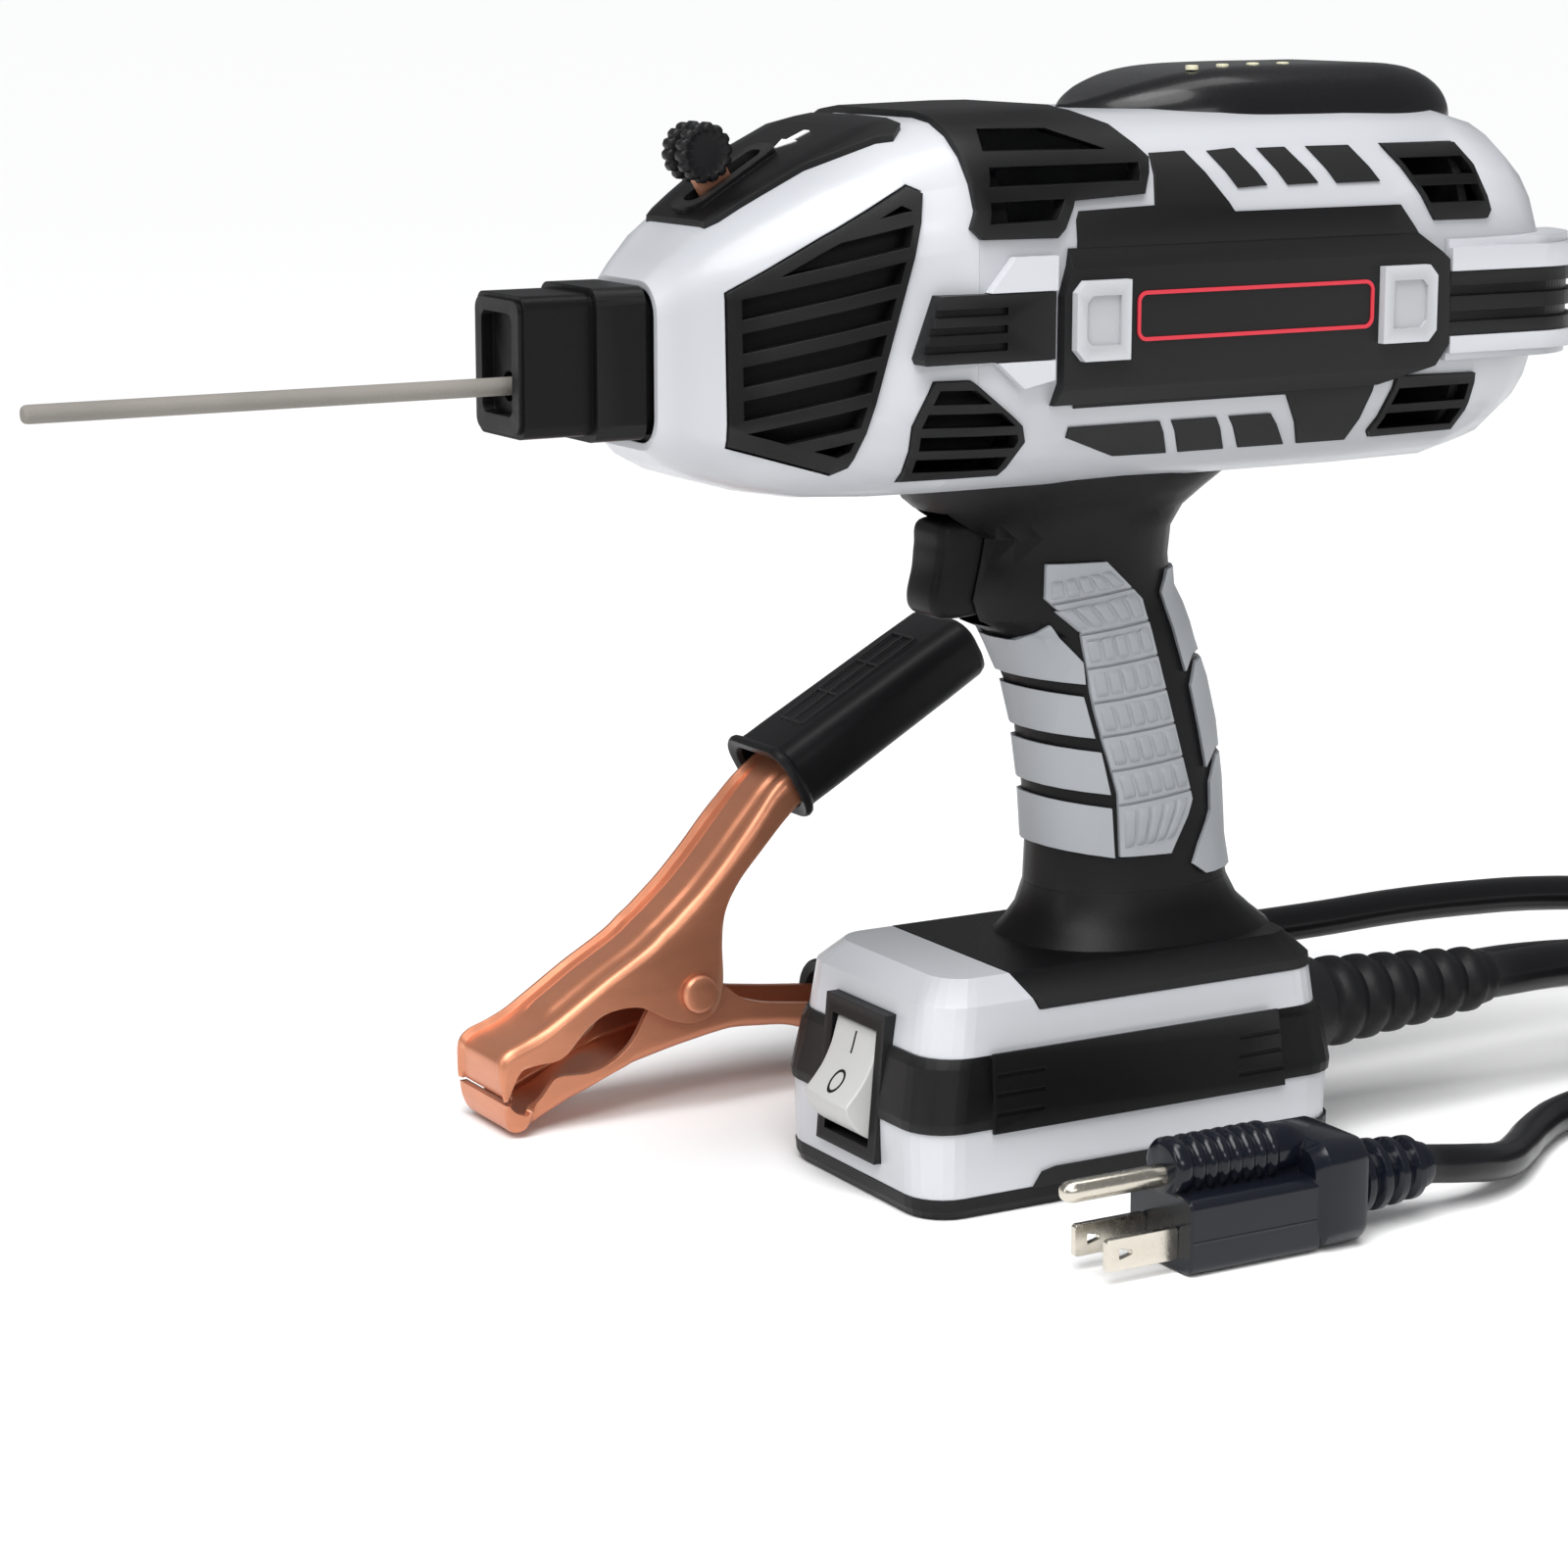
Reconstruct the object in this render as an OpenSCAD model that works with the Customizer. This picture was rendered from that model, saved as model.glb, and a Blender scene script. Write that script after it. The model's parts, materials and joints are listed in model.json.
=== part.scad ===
// Hand-held stick welding inverter: a pistol-shaped gun on a battery-style base, with an
// electrode in its nozzle, a mains lead with its plug and an earth lead with its clamp.
// Frame: origin at the centre of the base's underside, +Z up, the nozzle points to -X.

/* [Barrel] */
// Width of the barrel
barrel_width = 92; // [88:1:96]
// Height of the barrel's lowest line above the floor
barrel_low = 173.8; // [172:0.2:175]
// Height of the barrel's top line above the floor
barrel_high = 261.5; // [260:0.5:264]
// Wall of the moulded shells
shell_wall = 2.5; // [2:0.25:3]

/* [Base] */
// Length of the base
base_length = 124; // [122:0.5:126]
// Width of the base
base_width = 71; // [69:0.5:73]
// Height of the base's flat top
base_top = 57; // [56.5:0.1:57.5]

/* [Electrode] */
// Coated diameter of the stick electrode
electrode_dia = 4.2; // [3:0.1:5]
// Height of the electrode's axis
electrode_z = 202.5; // [201:0.5:204]

/* [Leads] */
// Diameter of the mains lead
mains_dia = 9.5; // [8:0.5:9.5]
// Diameter of the earth lead
earth_dia = 12.5; // [11:0.5:12.5]

/* [Earth clamp] */
// Width of the clamp's channel jaws
clamp_width = 28; // [26:1:30]
// Middle plane of the clamp, measured from the gun's middle plane
clamp_y = 91; // [90:1:96]

/* [Hidden] */

white = "#dfe1e6";
black = "#1c1c1e";
soft_grey = "#a9adb3";
copper = "#c4714a";
steel = "#b9b4a6";

gap = 0.05;
eps = 0.01;

// Barrel stations, front to rear: [x, side inset, rise of the bottom, drop of the top, corner radius]
STATIONS = [
    [-123, 29.5, 13.2, 36, 8], [-119, 25.5, 9.7, 32, 11], [-112, 20.5, 6.2, 26, 14],
    [-102, 15, 3.2, 19.4, 18], [-88, 8.5, 1, 11, 22], [-72, 3.2, 0.2, 4, 26],
    [-56, 0.5, 0, 0.6, 28], [-30, 0, 0, 0, 28], [60, 0, 0, 0, 28], [88, 0.5, 0.4, 0.5, 28],
    [102, 3, 3.2, 4, 27], [112, 7.5, 8.2, 10.5, 25], [119, 14, 15.2, 18.5, 21],
    [122, 19, 20.2, 24.5, 17]];
split = 6;
last = len(STATIONS) - 1;

// Grip stations, bottom to top: [z, middle x, half depth, half width]
GRIP = [
    [56.5, 20.5, 37, 26.4], [60, 20, 33, 24], [64, 19, 29.5, 21], [70, 18.3, 27, 19],
    [80, 17.5, 26, 18], [95, 16.3, 26, 18], [110, 14, 26, 18], [121, 11, 26, 18],
    [131, 6.5, 26.5, 18], [135.5, 4.5, 27, 18], [140, -1.5, 31.5, 18], [145, -4, 31, 18],
    [153, -3.5, 29.5, 18], [160, -2.5, 29, 18.5], [165, -5, 35, 20], [169, -5, 40, 23],
    [174, -3, 44.5, 27], [179, -3, 46, 29]];
grip_seam = 3;

// Outlines in the side view, as [x, z]
FRONT_VENT = [[-111, 223.5], [-90.5, 236], [-71, 247], [-68, 245.5], [-69.5, 240], [-84, 183],
    [-87, 181.5], [-110.5, 188.5]];
LOWER_VENT = [[-67, 203], [-58, 203], [-43, 191.6], [-41.3, 187.7], [-44, 179], [-70, 179],
    [-71.5, 193]];
REAR_VENT_HIGH = [[62, 253], [85, 253], [88, 248], [92, 236.5], [90.5, 234.6], [73.5, 234.7],
    [69, 242.5]];
REAR_VENT_LOW = [[63.7, 197.7], [88.4, 197.3], [88.6, 189.8], [87, 182.5], [61.5, 182.2],
    [59.8, 184]];
BAND = [[-58.5, 237], [-56, 234.5], [-36, 234.3], [-33.8, 236.3], [-30.7, 242.5], [-11, 243.5],
    [-7, 251.6], [-9, 254], [-13, 259], [-20, 262.5], [-20, 268], [-57, 268], [-57, 241]];
BAND_CORE = [[-55.5, 236.6], [-35, 236.6], [-32, 244.2], [-9.5, 245], [-8.5, 251.2], [-17, 255.5],
    [-30, 259.6], [-53, 259.6]];
BAND_SLOTS = [
    [[-49, 258.6], [-31, 258.4], [-18, 253.6], [-51, 253.8]],
    [[-51, 250.3], [-10.5, 250.5], [-11.7, 246.4], [-52.5, 246]],
    [[-53, 242.7], [-33.2, 243], [-36, 238.2], [-53.8, 237.8]]];
PANEL = [[-35, 201], [-36.5, 196], [57, 196], [73, 200], [77, 205], [76.5, 225.5], [68.5, 232],
    [-32.5, 231.8], [-33, 228], [-35, 221]];
PANEL_SKIN_HIGH = [[-32.5, 231.8], [-29.2, 240.1], [-8, 240.8], [-5.5, 252.4], [4.3, 252.7],
    [14.4, 238.7], [63.3, 238.8], [68.5, 232]];
PANEL_SKIN_LOW = [[57, 196], [54, 182], [39.8, 182], [30.8, 195], [-37.5, 195], [-36.5, 196]];
PANEL_INLAYS = [
    [[11, 252.5], [19, 253], [25, 244.4], [16.5, 244]],
    [[25.6, 252.8], [33.6, 252.9], [40, 244.5], [31, 244.3]],
    [[40, 252.9], [52.5, 252.9], [58.4, 244.4], [45.5, 244.3]],
    [[-37, 190.4], [-4.4, 190.4], [1.4, 182], [-14, 182.2]],
    [[-1, 190.4], [11.9, 190.4], [18, 182], [5, 182]],
    [[15.6, 190.4], [27.8, 190.4], [35.8, 182], [22.5, 182]]];
SIDE_PAD = [[-18, 154], [-1.5, 153.6], [9.8, 143.6], [25.8, 92], [24.4, 88], [19.3, 79], [5, 79.3],
    [4, 95], [-3, 117], [-8, 136.6], [-18.3, 145.6]];
FINGER_PADS = [
    [[-40, 127.8], [-40, 134.5], [-21, 134.5], [-16.5, 139], [-6.7, 129], [-5.6, 123.4]],
    [[-40, 114.6], [-40, 125.6], [-5.6, 120.2], [-2.2, 109.6]],
    [[-40, 101.4], [-40, 111.8], [-0.7, 106], [2.1, 95.2]],
    [[-40, 86.6], [-40, 98.8], [2.5, 91.7], [3.6, 79.1]]];
REAR_PADS = [
    [[17.2, 144.1], [20, 149.5], [60, 149.5], [60, 129], [27.6, 128], [23.9, 124.1]],
    [[25.5, 120.3], [28.6, 125.9], [60, 125.9], [60, 103.4], [35.5, 103.1], [31.1, 99.1]],
    [[32.7, 95], [35.8, 101.3], [60, 101.3], [60, 72.5], [30.6, 72.5], [26, 75.5], [32.9, 87.8]]];
TRIGGER = [[-40.5, 164.5], [-42, 158], [-42.2, 152.4], [-43.8, 145], [-43, 141.6], [-39, 140.2],
    [-29, 140.6], [-19, 142], [-17.5, 146], [-17.5, 161], [-20, 164.2], [-30, 165]];
UPPER_JAW = [[-119.8, 21.5], [-106.5, 27.5], [-93, 35.9], [-77, 45], [-61, 58], [-49.5, 70.5],
    [-37.9, 83.5], [-35.5, 87], [-20, 96.6], [-15.4, 88.6], [-30, 79.5], [-40, 71], [-50.7, 59.6],
    [-54.8, 51.7], [-55.4, 44.5],
    [-54.9, 38], [-56.5, 26.5], [-64, 23.6], [-70.5, 25.6], [-76, 28.5], [-80, 30.3],
    [-86.4, 30.2], [-95.4, 26.2], [-101.6, 19.8], [-105.5, 18.8], [-113.3, 18.4], [-116.1, 14],
    [-118.9, 9.9]];
LOWER_JAW = [[-118.9, 9.5], [-116.2, 7.3], [-112.4, 5.6], [-107.9, 8], [-102.3, 14.2],
    [-95.5, 13.8], [-87.6, 15.2], [-80.8, 20], [-73, 34], [-66, 40.5], [-58, 37], [-51.4, 30.4],
    [-46, 26.5], [-24, 23.6], [0, 20.8], [0, 12.8], [-24, 15.2], [-34, 18.2], [-49.7, 19.2],
    [-67, 16.5], [-86.5, 12],
    [-101.2, 5.4], [-114.7, 0], [-117, 1.5]];
BASE_LOWER = [[5, -0.6, -0.3, 10.5], [21.5, 0, 0, 11]];
BASE_BAND = [[21.5, 0.5, 0.5, 11], [24, 0.7, 0.7, 11], [37, -1.7, -0.8, 11], [39.3, -2.8, -1.6, 10.5]];
BASE_UPPER = [[39.3, -3.5, -1.7, 10.5], [51.5, -5.2, -2.6, 10.5], [base_top, -10.5, -8.4, 8.5]];
COVER = [[-33.6, 70], [-33.6, 57.3], [-28.6, 48.8], [75, 48.8], [75, 70]];
pivot = [-62.4, 31.6];
jaw_sheet = 2;

// Feed slot frame: a point on the sloping plate, and the slope of the plate
slot_at = [-96.5, 0, 246.9];
slot_slope = 31;

// Trigger pivot and switch rocker pivot, as [x, z]
trigger_pivot = [-23, 160];
rocker_pivot = [-55.8, 27.6];
rocker_radius = 14.4;

// Lead routes, chosen by hand in round numbers
mains_exit = [64, 12, 47];
MAINS_OUT = [mains_exit, [90, 12, 47], [116, 13, 47], [142, 14, 46], [168, 15, 44],
    [192, 14, 41], [214, 10, 37], [234, 1, 33], [250, -14, 29], [262, -34, 26], [270, -58, 24],
    [272, -84, 24]];
MAINS_PLUG = [[177, -88, 5], [174, -72.5, 5], [165.5, -59.5, 5], [152.5, -51, 5], [137, -48, 5],
    [119, -52, 5], [103, -61, 5], [90, -71, 5.5], [77, -80, 7], [62, -85, 10], [48, -85, 12]];
mains_coil_at = [225, -85];
mains_coil_radii = [38, 57];
mains_coil_high = 28.5;
earth_exit = [124, -15, 33];
EARTH_OUT = [earth_exit, [150, -15, 33], [176, -11, 30], [200, -4, 25], [224, 4, 21],
    [246, 16, 19], [262, 34, 19]];
EARTH_CLAMP = [[257, 20, 6.5], [250, 42, 6.5], [234, 60, 6.5], [210, 69, 6.5], [182, 70, 6.5],
    [154, 72, 6.5], [128, 79, 6.5], [102, 87, 6.8], [76, 91, 7.9], [50.9, 91, 10.8]];
earth_coil_at = [328, 26];
earth_coil_radii = [52.5, 77.5];
earth_coil_high = 25;

// ---------- shared shapes ----------

function quarter(y, z, r, start) = [for (i = [0:6])
    [y + r * cos(start + 15 * i), z + r * sin(start + 15 * i)]];

function box_ring(x, half, low, high, r) = [for (p = concat(
    quarter(half - r, high - r, r, 0), quarter(r - half, high - r, r, 90),
    quarter(r - half, low + r, r, 180), quarter(half - r, low + r, r, 270))) [x, p[0], p[1]]];

function barrel_ring(s, t, shift) = box_ring(s[0] + shift, barrel_width / 2 - s[1] + t,
    barrel_low + s[2] - t, barrel_high - s[3] + t, s[4] + t);

function squircle(a) = [sign(cos(a)) * pow(abs(cos(a)), 0.85), sign(sin(a)) * pow(abs(sin(a)), 0.85)];

function grip_ring(s, t, shift) = [for (a = [0:15:345])
    [s[1] + (s[2] + t) * squircle(a)[0], (s[3] + t) * squircle(a)[1], s[0] + shift]];

// Base stations: [z, growth of the half length, growth of the half width, corner radius]
function base_ring(s, t, shift) = let (l = base_length / 2 + s[1] + t, w = base_width / 2 + s[2] + t,
    r = s[3] + t) [for (p = concat(quarter(l - r, w - r, r, 0), quarter(r - l, w - r, r, 90),
    quarter(r - l, r - w, r, 180), quarter(l - r, r - w, r, 270))) [p[0], p[1], s[0] + shift]];

function unit(v) = v / norm(v);

function along(route, i) = unit(route[min(i + 1, len(route) - 1)] - route[max(i - 1, 0)]);

function tube_ring(route, i, d) = let (t = along(route, i), u = unit(cross([0, 0, 1], t)),
    v = cross(t, u)) [for (a = [0:36:324]) route[i] + d / 2 * (cos(a) * u + sin(a) * v)];

// A closed solid through a list of rings that have the same number of points
module loft(rings) {
    n = len(rings[0]);
    m = len(rings);
    polyhedron(
        points = [for (r = rings) each r],
        faces = concat(
            [[for (i = [0:n - 1]) i]],
            [[for (i = [n - 1:-1:0]) (m - 1) * n + i]],
            [for (k = [0:m - 2], i = [0:n - 1])
                [k * n + i, (k + 1) * n + i, (k + 1) * n + (i + 1) % n]],
            [for (k = [0:m - 2], i = [0:n - 1])
                [k * n + i, (k + 1) * n + (i + 1) % n, k * n + (i + 1) % n]]));
}

// The barrel's outer form grown by t, from one station to another
module barrel(t = 0, first = 0, final = last) {
    loft([for (k = [first:final]) barrel_ring(STATIONS[k], t, 0)]);
}

// The same form with both ends pushed out, to cut with
module barrel_cut(t, first = 0, final = last) {
    loft([for (k = [first:final])
        barrel_ring(STATIONS[k], t, k == first ? -1 : k == final ? 1 : 0)]);
}

module grip_form(t = 0, first = 0, final = len(GRIP) - 1) {
    loft([for (k = [first:final]) grip_ring(GRIP[k], t, 0)]);
}

module grip_cut(t, first = 0, final = len(GRIP) - 1) {
    loft(concat([grip_ring(GRIP[first], t, -1)], [for (k = [first:final]) grip_ring(GRIP[k], t, 0)],
        [grip_ring(GRIP[final], t, 1)]));
}

module base_form(stations, t = 0, ends = 0) {
    n = len(stations) - 1;
    loft([for (k = [0:n]) base_ring(stations[k], t, k == 0 ? -ends : k == n ? ends : 0)]);
}

module cord(route, d) {
    loft([for (i = [0:len(route) - 1]) tube_ring(route, i, d)]);
}

module coil_solid(at, radii, high) {
    translate([at[0], at[1], 0]) rotate_extrude($fn = 96)
        translate([radii[0], 0]) square([radii[1] - radii[0], high]);
}

// A side-view outline as a solid from one Y to another
module side(points, from, to) {
    translate([0, to, 0]) rotate([90, 0, 0]) linear_extrude(to - from) polygon(points);
}

// Two copies of the left side's piece, one on each side of the middle plane
module both_sides() {
    children();
    mirror([0, 1, 0]) children();
}

module rounded(l, w, r) {
    square([l - 2 * r, w], center = true);
    square([l, w - 2 * r], center = true);
    for (sx = [-1, 1], sy = [-1, 1])
        translate([sx * (l / 2 - r), sy * (w / 2 - r)]) circle(r, $fn = 32);
}

module block(x, y, z) {
    translate([x[0], y[0], z[0]]) cube([x[1] - x[0], y[1] - y[0], z[1] - z[0]]);
}

// A plate that follows the barrel between two heights over its skin, inside an outline
module barrel_patch(outline, high, low, first, final, from = -60, to = -8) {
    intersection() {
        difference() {
            barrel(high, first, final);
            barrel_cut(low, first, final);
        }
        side(outline, from, to);
    }
}

// Slanted slots, side by side, in the side view
module slots(count, x, z, pitch, thick, slope, from, to) {
    for (k = [0:count - 1]) {
        low = z - k * pitch;
        side([[x[0], low], [x[1], low + slope], [x[1], low + slope + thick], [x[0], low + thick]],
            from, to);
    }
}

// ---------- barrel ----------

module front_shell() {
    color(white) difference() {
        barrel(0, 0, split);
        barrel_cut(-shell_wall, 0, split);
        both_sides() side(FRONT_VENT, -70, -8);
        both_sides() side(LOWER_VENT, -70, -8);
        on_slope() cube([23, 8.4, 14], center = true);
    }
}

module rear_shell() {
    color(white) {
        difference() {
            barrel(0, split, last);
            barrel_cut(-shell_wall, split, last);
            both_sides() side(LOWER_VENT, -70, -8);
            both_sides() side(REAR_VENT_HIGH, -70, -8);
            both_sides() side(REAR_VENT_LOW, -70, -8);
            both_sides() side(BAND_CORE, -70, -12);
            block([-20, 20], [-12, 12], [165, 180]);
        }
    }
}

module side_brackets() {
    both_sides() difference() {
        union() {
            side([[-54.6, 222.6], [-48, 230.5], [-36.5, 230.5], [-36.5, 222.6]], -48.6, -40);
            side([[-52.6, 206.8], [-37, 206.8], [-37, 202.2], [-45.4, 200.5]], -48.6, -40);
        }
        barrel(gap);
    }
}

module saddle_band() {
    color(black) difference() {
        union() {
            intersection() {
                difference() {
                    barrel(1.6, split - 1, 8);
                    barrel_cut(gap, split - 1, 8);
                }
                side(BAND, -60, 60);
            }
            both_sides() intersection() {
                difference() {
                    barrel(0.5, split, 8);
                    barrel_cut(-2.4, split, 8);
                }
                side(inset_core(), -60, -12);
            }
        }
        both_sides() for (s = BAND_SLOTS) side(s, -70, -10);
    }
}

// The core outline drawn in a little, so that it drops into the shell's window
function middle(points) = [for (i = [0, 1])
    (max([for (p = points) p[i]]) + min([for (p = points) p[i]])) / 2];
function drawn_in(points, share) = let (c = middle(points)) [for (p = points) c + share * (p - c)];
function inset_core() = drawn_in(BAND_CORE, 0.985);

module louvre(outline, count, x, z, pitch, thick, slope, first, final) {
    difference() {
        barrel_patch(drawn_in(outline, 0.985), 1, -2.4, first, final);
        intersection() {
            slots(count, x, z, pitch, thick, slope, -70, -8);
            side(drawn_in(outline, 0.86), -70, -8);
        }
    }
}

module front_vent() {
    louvre(FRONT_VENT, 9, [-115, -60], 231, 7.6, 4.6, 13, 0, split);
}

module front_vent_left() {
    color(black) front_vent();
}

module front_vent_right() {
    color(black) mirror([0, 1, 0]) front_vent();
}

module lower_vents() {
    color(black) both_sides()
        louvre(LOWER_VENT, 4, [-80, -35], 198, 5.4, 3.2, -1, 4, 8);
}

module rear_vents() {
    color(black) both_sides() {
        louvre(REAR_VENT_HIGH, 2, [55, 95], 245.4, 6.6, 4.2, 0, 8, last);
        louvre(REAR_VENT_LOW, 2, [55, 95], 190.6, 6.2, 4, 0, 8, last);
    }
}

// Raised side plate with a chamfer along its top and bottom, its skins and its inlays
module panel() {
    difference() {
        intersection() {
            side(PANEL, -60, -40);
            rotate([90, 0, 90]) translate([0, 0, -45]) linear_extrude(130)
                polygon([[-40, 190], [-46, 194], [-49, 199.6], [-49, 227.4], [-46, 232.8], [-40, 240]]);
        }
        barrel(gap);
    }
    barrel_patch(PANEL_SKIN_HIGH, 0.7, gap, 7, 9);
    barrel_patch(PANEL_SKIN_LOW, 0.7, gap, 7, 9);
    for (p = PANEL_INLAYS) barrel_patch(p, 0.5, gap, 7, 9);
}

module panel_left() {
    color(black) panel();
}

module panel_right() {
    color(black) mirror([0, 1, 0]) panel();
}

module badge_frames() {
    color("#b3141c") both_sides() translate([19.2, -49, 215.8]) rotate([90, 0, 0])
        linear_extrude(0.4) difference() {
            rounded(68.5, 11.6, 2.6);
            rounded(66.7, 9.8, 1.7);
        }
}

module latch(from, to, flip) {
    wide = to - from;
    edge = [[0, 2.6], [2.4, 0], [wide, 0], [wide, 18.4], [2.4, 18.4], [0, 15.8]];
    outline = [for (p = edge) [flip ? to - p[0] : from + p[0], 206.2 + p[1]]];
    difference() {
        side(outline, -51.2, -49);
        side(drawn_in(outline, 0.62), -52, -50.3);
    }
}

module latches() {
    latch(-33, -18, false);
    latch(55.2, 71.2, true);
}

module latches_left() {
    color(soft_grey) latches();
}

module latches_right() {
    color(soft_grey) mirror([0, 1, 0]) latches();
}

module side_rails() {
    color(black) both_sides() difference() {
        side([[-72.2, 208.4], [-71.6, 207], [-37, 207], [-37, 222.4], [-67.4, 222.4]], -48.4, -38);
        for (z = [209.6, 213.6, 217.6]) block([-74, -50], [-50, -47.3], [z, z + 1.8]);
        barrel(gap);
    }
}

module tail_plan(grow) {
    difference() {
        translate([74, 0]) rounded(108 + 2 * grow, 97 + 2 * grow, 22);
        translate([-50, -70]) square([127.4, 140]);
        translate([60, -25]) square([90, 50]);
    }
}

module tail_guards() {
    color(black) difference() {
        translate([0, 0, 206.9]) linear_extrude(15.5) tail_plan(-0.2);
        for (z = [210.2, 216.4]) translate([0, 0, z]) linear_extrude(2.6) difference() {
            translate([60, -80]) square([120, 160]);
            tail_plan(-1.4);
        }
        barrel(gap);
    }
}

module tail_ledges() {
    color(white) difference() {
        union() {
            translate([0, 0, 222.5]) linear_extrude(5.6) tail_plan(0.4);
            translate([0, 0, 228.1]) linear_extrude(2) tail_plan(-1.4);
            translate([0, 0, 202.6]) linear_extrude(4.2) tail_plan(0.4);
            translate([0, 0, 200.8]) linear_extrude(1.8) tail_plan(-1.4);
        }
        barrel(gap);
    }
    color(white) side_brackets();
}

module dome() {
    color(black) difference() {
        loft([for (s = [[-4, 4, 262.4, 4], [2, 12, 264.4, 8], [10, 19, 267.2, 10], [20, 24, 269.6, 11],
                [32, 26.5, 271, 12], [48, 27, 271.5, 12], [78, 27, 271.5, 12], [88, 25.5, 270.4, 12],
                [95, 22.5, 267.4, 11], [100, 18, 263.4, 9], [102, 14.5, 261.2, 8]])
            box_ring(s[0], s[1], 230, s[2], s[3])]);
        barrel(gap, split, last);
    }
}

module rear_grille() {
    color(black) difference() {
        intersection() {
            barrel(-2.6, 9, last);
            block([117, 121], [-60, 60], [150, 280]);
        }
        for (k = [-3:3]) block([110, 125], [-17, 17], [215 + 5 * k, 218 + 5 * k]);
    }
}

// ---------- nozzle, electrode and feed ----------

module nozzle() {
    color(black) difference() {
        union() {
            translate([-137, 0, 207.3]) rotate([0, -90, 0]) linear_extrude(17) rounded(32, 24, 3);
            translate([-154 + eps, 0, 207.3]) rotate([0, -90, 0]) linear_extrude(1) rounded(30, 22, 3);
            translate([-124.6, 0, 207.2]) rotate([0, -90, 0]) linear_extrude(12.4) rounded(34.8, 28.6, 4);
            translate([-116, 0, 206.5]) rotate([0, -90, 0]) linear_extrude(8.6) rounded(32, 26, 5.5);
            intersection() {
                barrel_cut(-shell_wall - gap, 0, split);
                block([-121, -116], [-30, 30], [180, 240]);
            }
        }
        translate([-152, 0, 207.8]) rotate([0, -90, 0]) linear_extrude(5) rounded(23, 15.5, 2);
        translate([-160, 0, electrode_z]) rotate([0, 90, 0])
            cylinder(d = electrode_dia + 2.6, h = 60, $fn = 48);
    }
}

module electrode() {
    color("#77756f") {
        translate([-266, 0, electrode_z]) rotate([0, 90, 0]) cylinder(d = electrode_dia, h = 150, $fn = 48);
        translate([-116, 0, electrode_z]) rotate([0, 90, 0]) cylinder(d = 2.6, h = 26, $fn = 48);
    }
}

module electrode_clamp() {
    color("#3a3634") difference() {
        intersection() {
            union() {
                block([-110, -76], [-8, 8], [194, 211]);
                block([-86, -76], [-5, 5], [170, 195]);
            }
            barrel_cut(-shell_wall - gap, 0, split);
        }
        translate([-112, 0, electrode_z]) rotate([0, 90, 0]) cylinder(d = 2.66, h = 40, $fn = 48);
    }
}

module on_slope() {
    translate(slot_at) rotate([0, -slot_slope, 0]) children();
}

module top_plate() {
    color(black) difference() {
        union() {
            intersection() {
                difference() {
                    barrel(1.6, 0, split + 1);
                    barrel_cut(gap, 0, split + 1);
                }
                translate([0, 0, 215]) linear_extrude(60) polygon([[-109.5, -14], [-107, -16], [-68, -27.5],
                    [-64, -24], [-62.5, 0], [-64, 24], [-68, 27.5], [-107, 16], [-109.5, 14]]);
            }
            difference() {
                on_slope() translate([0, 0, -1]) linear_extrude(2.3) rounded(27, 12.5, 4);
                barrel(gap);
            }
        }
        on_slope() translate([0, 0, -12]) linear_extrude(24) rounded(21.5, 6.6, 2.6);
    }
}

blade_thick = 2.2;
knob_high = 9.2;
feed_rest = -2.8;

module feed_blade() {
    color(copper) on_slope() translate([feed_rest, 0, 0]) rotate([90, 0, 0]) difference() {
        union() {
            linear_extrude(blade_thick, center = true)
                polygon([[-4.3, -24], [0, -28], [4.3, -24], [4.3, knob_high], [-4.3, knob_high]]);
            translate([0, knob_high, 0]) cylinder(r = 4.3, h = blade_thick, center = true, $fn = 48);
        }
        translate([0, knob_high, 0]) cylinder(r = 2.05, h = 10, center = true, $fn = 48);
    }
}

module feed_knob() {
    color(black) on_slope() translate([feed_rest, 0, 0]) rotate([90, 0, 0]) translate([0, knob_high, 0]) {
        cylinder(r = 2, h = 3, center = true, $fn = 48);
        for (side = [-1, 1]) translate([0, 0, side * 3.15]) difference() {
            cylinder(r = 7, h = 3.7, center = true, $fn = 64);
            for (a = [0:36:324]) rotate([0, 0, a]) translate([7.9, 0, 0])
                cylinder(r = 1.7, h = 6, center = true, $fn = 24);
        }
    }
}

// ---------- inside the barrel ----------

module fan_frame() {
    color("#2a2a2c") {
        difference() {
            union() {
                intersection() {
                    barrel_cut(-shell_wall - gap, split, last);
                    block([84, 86.5], [-60, 60], [170, 262]);
                }
                translate([84, 0, 217]) rotate([0, 90, 0]) cylinder(r = 36, h = 13, $fn = 64);
            }
            translate([80, 0, 217]) rotate([0, 90, 0]) cylinder(r = 33.5, h = 20, $fn = 64);
        }
        translate([84, 0, 217]) rotate([0, 90, 0]) {
            cylinder(r = 11, h = 3, $fn = 48);
            cylinder(r = 1.5, h = 12, $fn = 32);
            for (a = [0:90:270]) rotate([0, 0, a + 45]) translate([10, -1.5, 0]) cube([24.5, 3, 2.4]);
        }
    }
}

module fan() {
    color("#39393c") translate([87.8, 0, 217]) rotate([0, 90, 0]) {
        difference() {
            cylinder(r = 12, h = 8.5, $fn = 48);
            translate([0, 0, -1]) cylinder(r = 1.54, h = 12, $fn = 32);
        }
        for (a = [0:360 / 7:359]) rotate([0, 0, a]) translate([21.5, 0, 4.2])
            rotate([35, 0, 0]) cube([20.5, 9, 1.2], center = true);
    }
}

board_z = 186;

module main_board() {
    color("#1f5a34") {
        block([-70, 81], [-26, 26], [board_z, board_z + 1.6]);
        for (x = [-40, 15, 60], y = [-14, 14])
            block([x - 3, x + 3], [y - 3, y + 3], [barrel_low + shell_wall + gap, board_z + eps]);
    }
}

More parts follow.
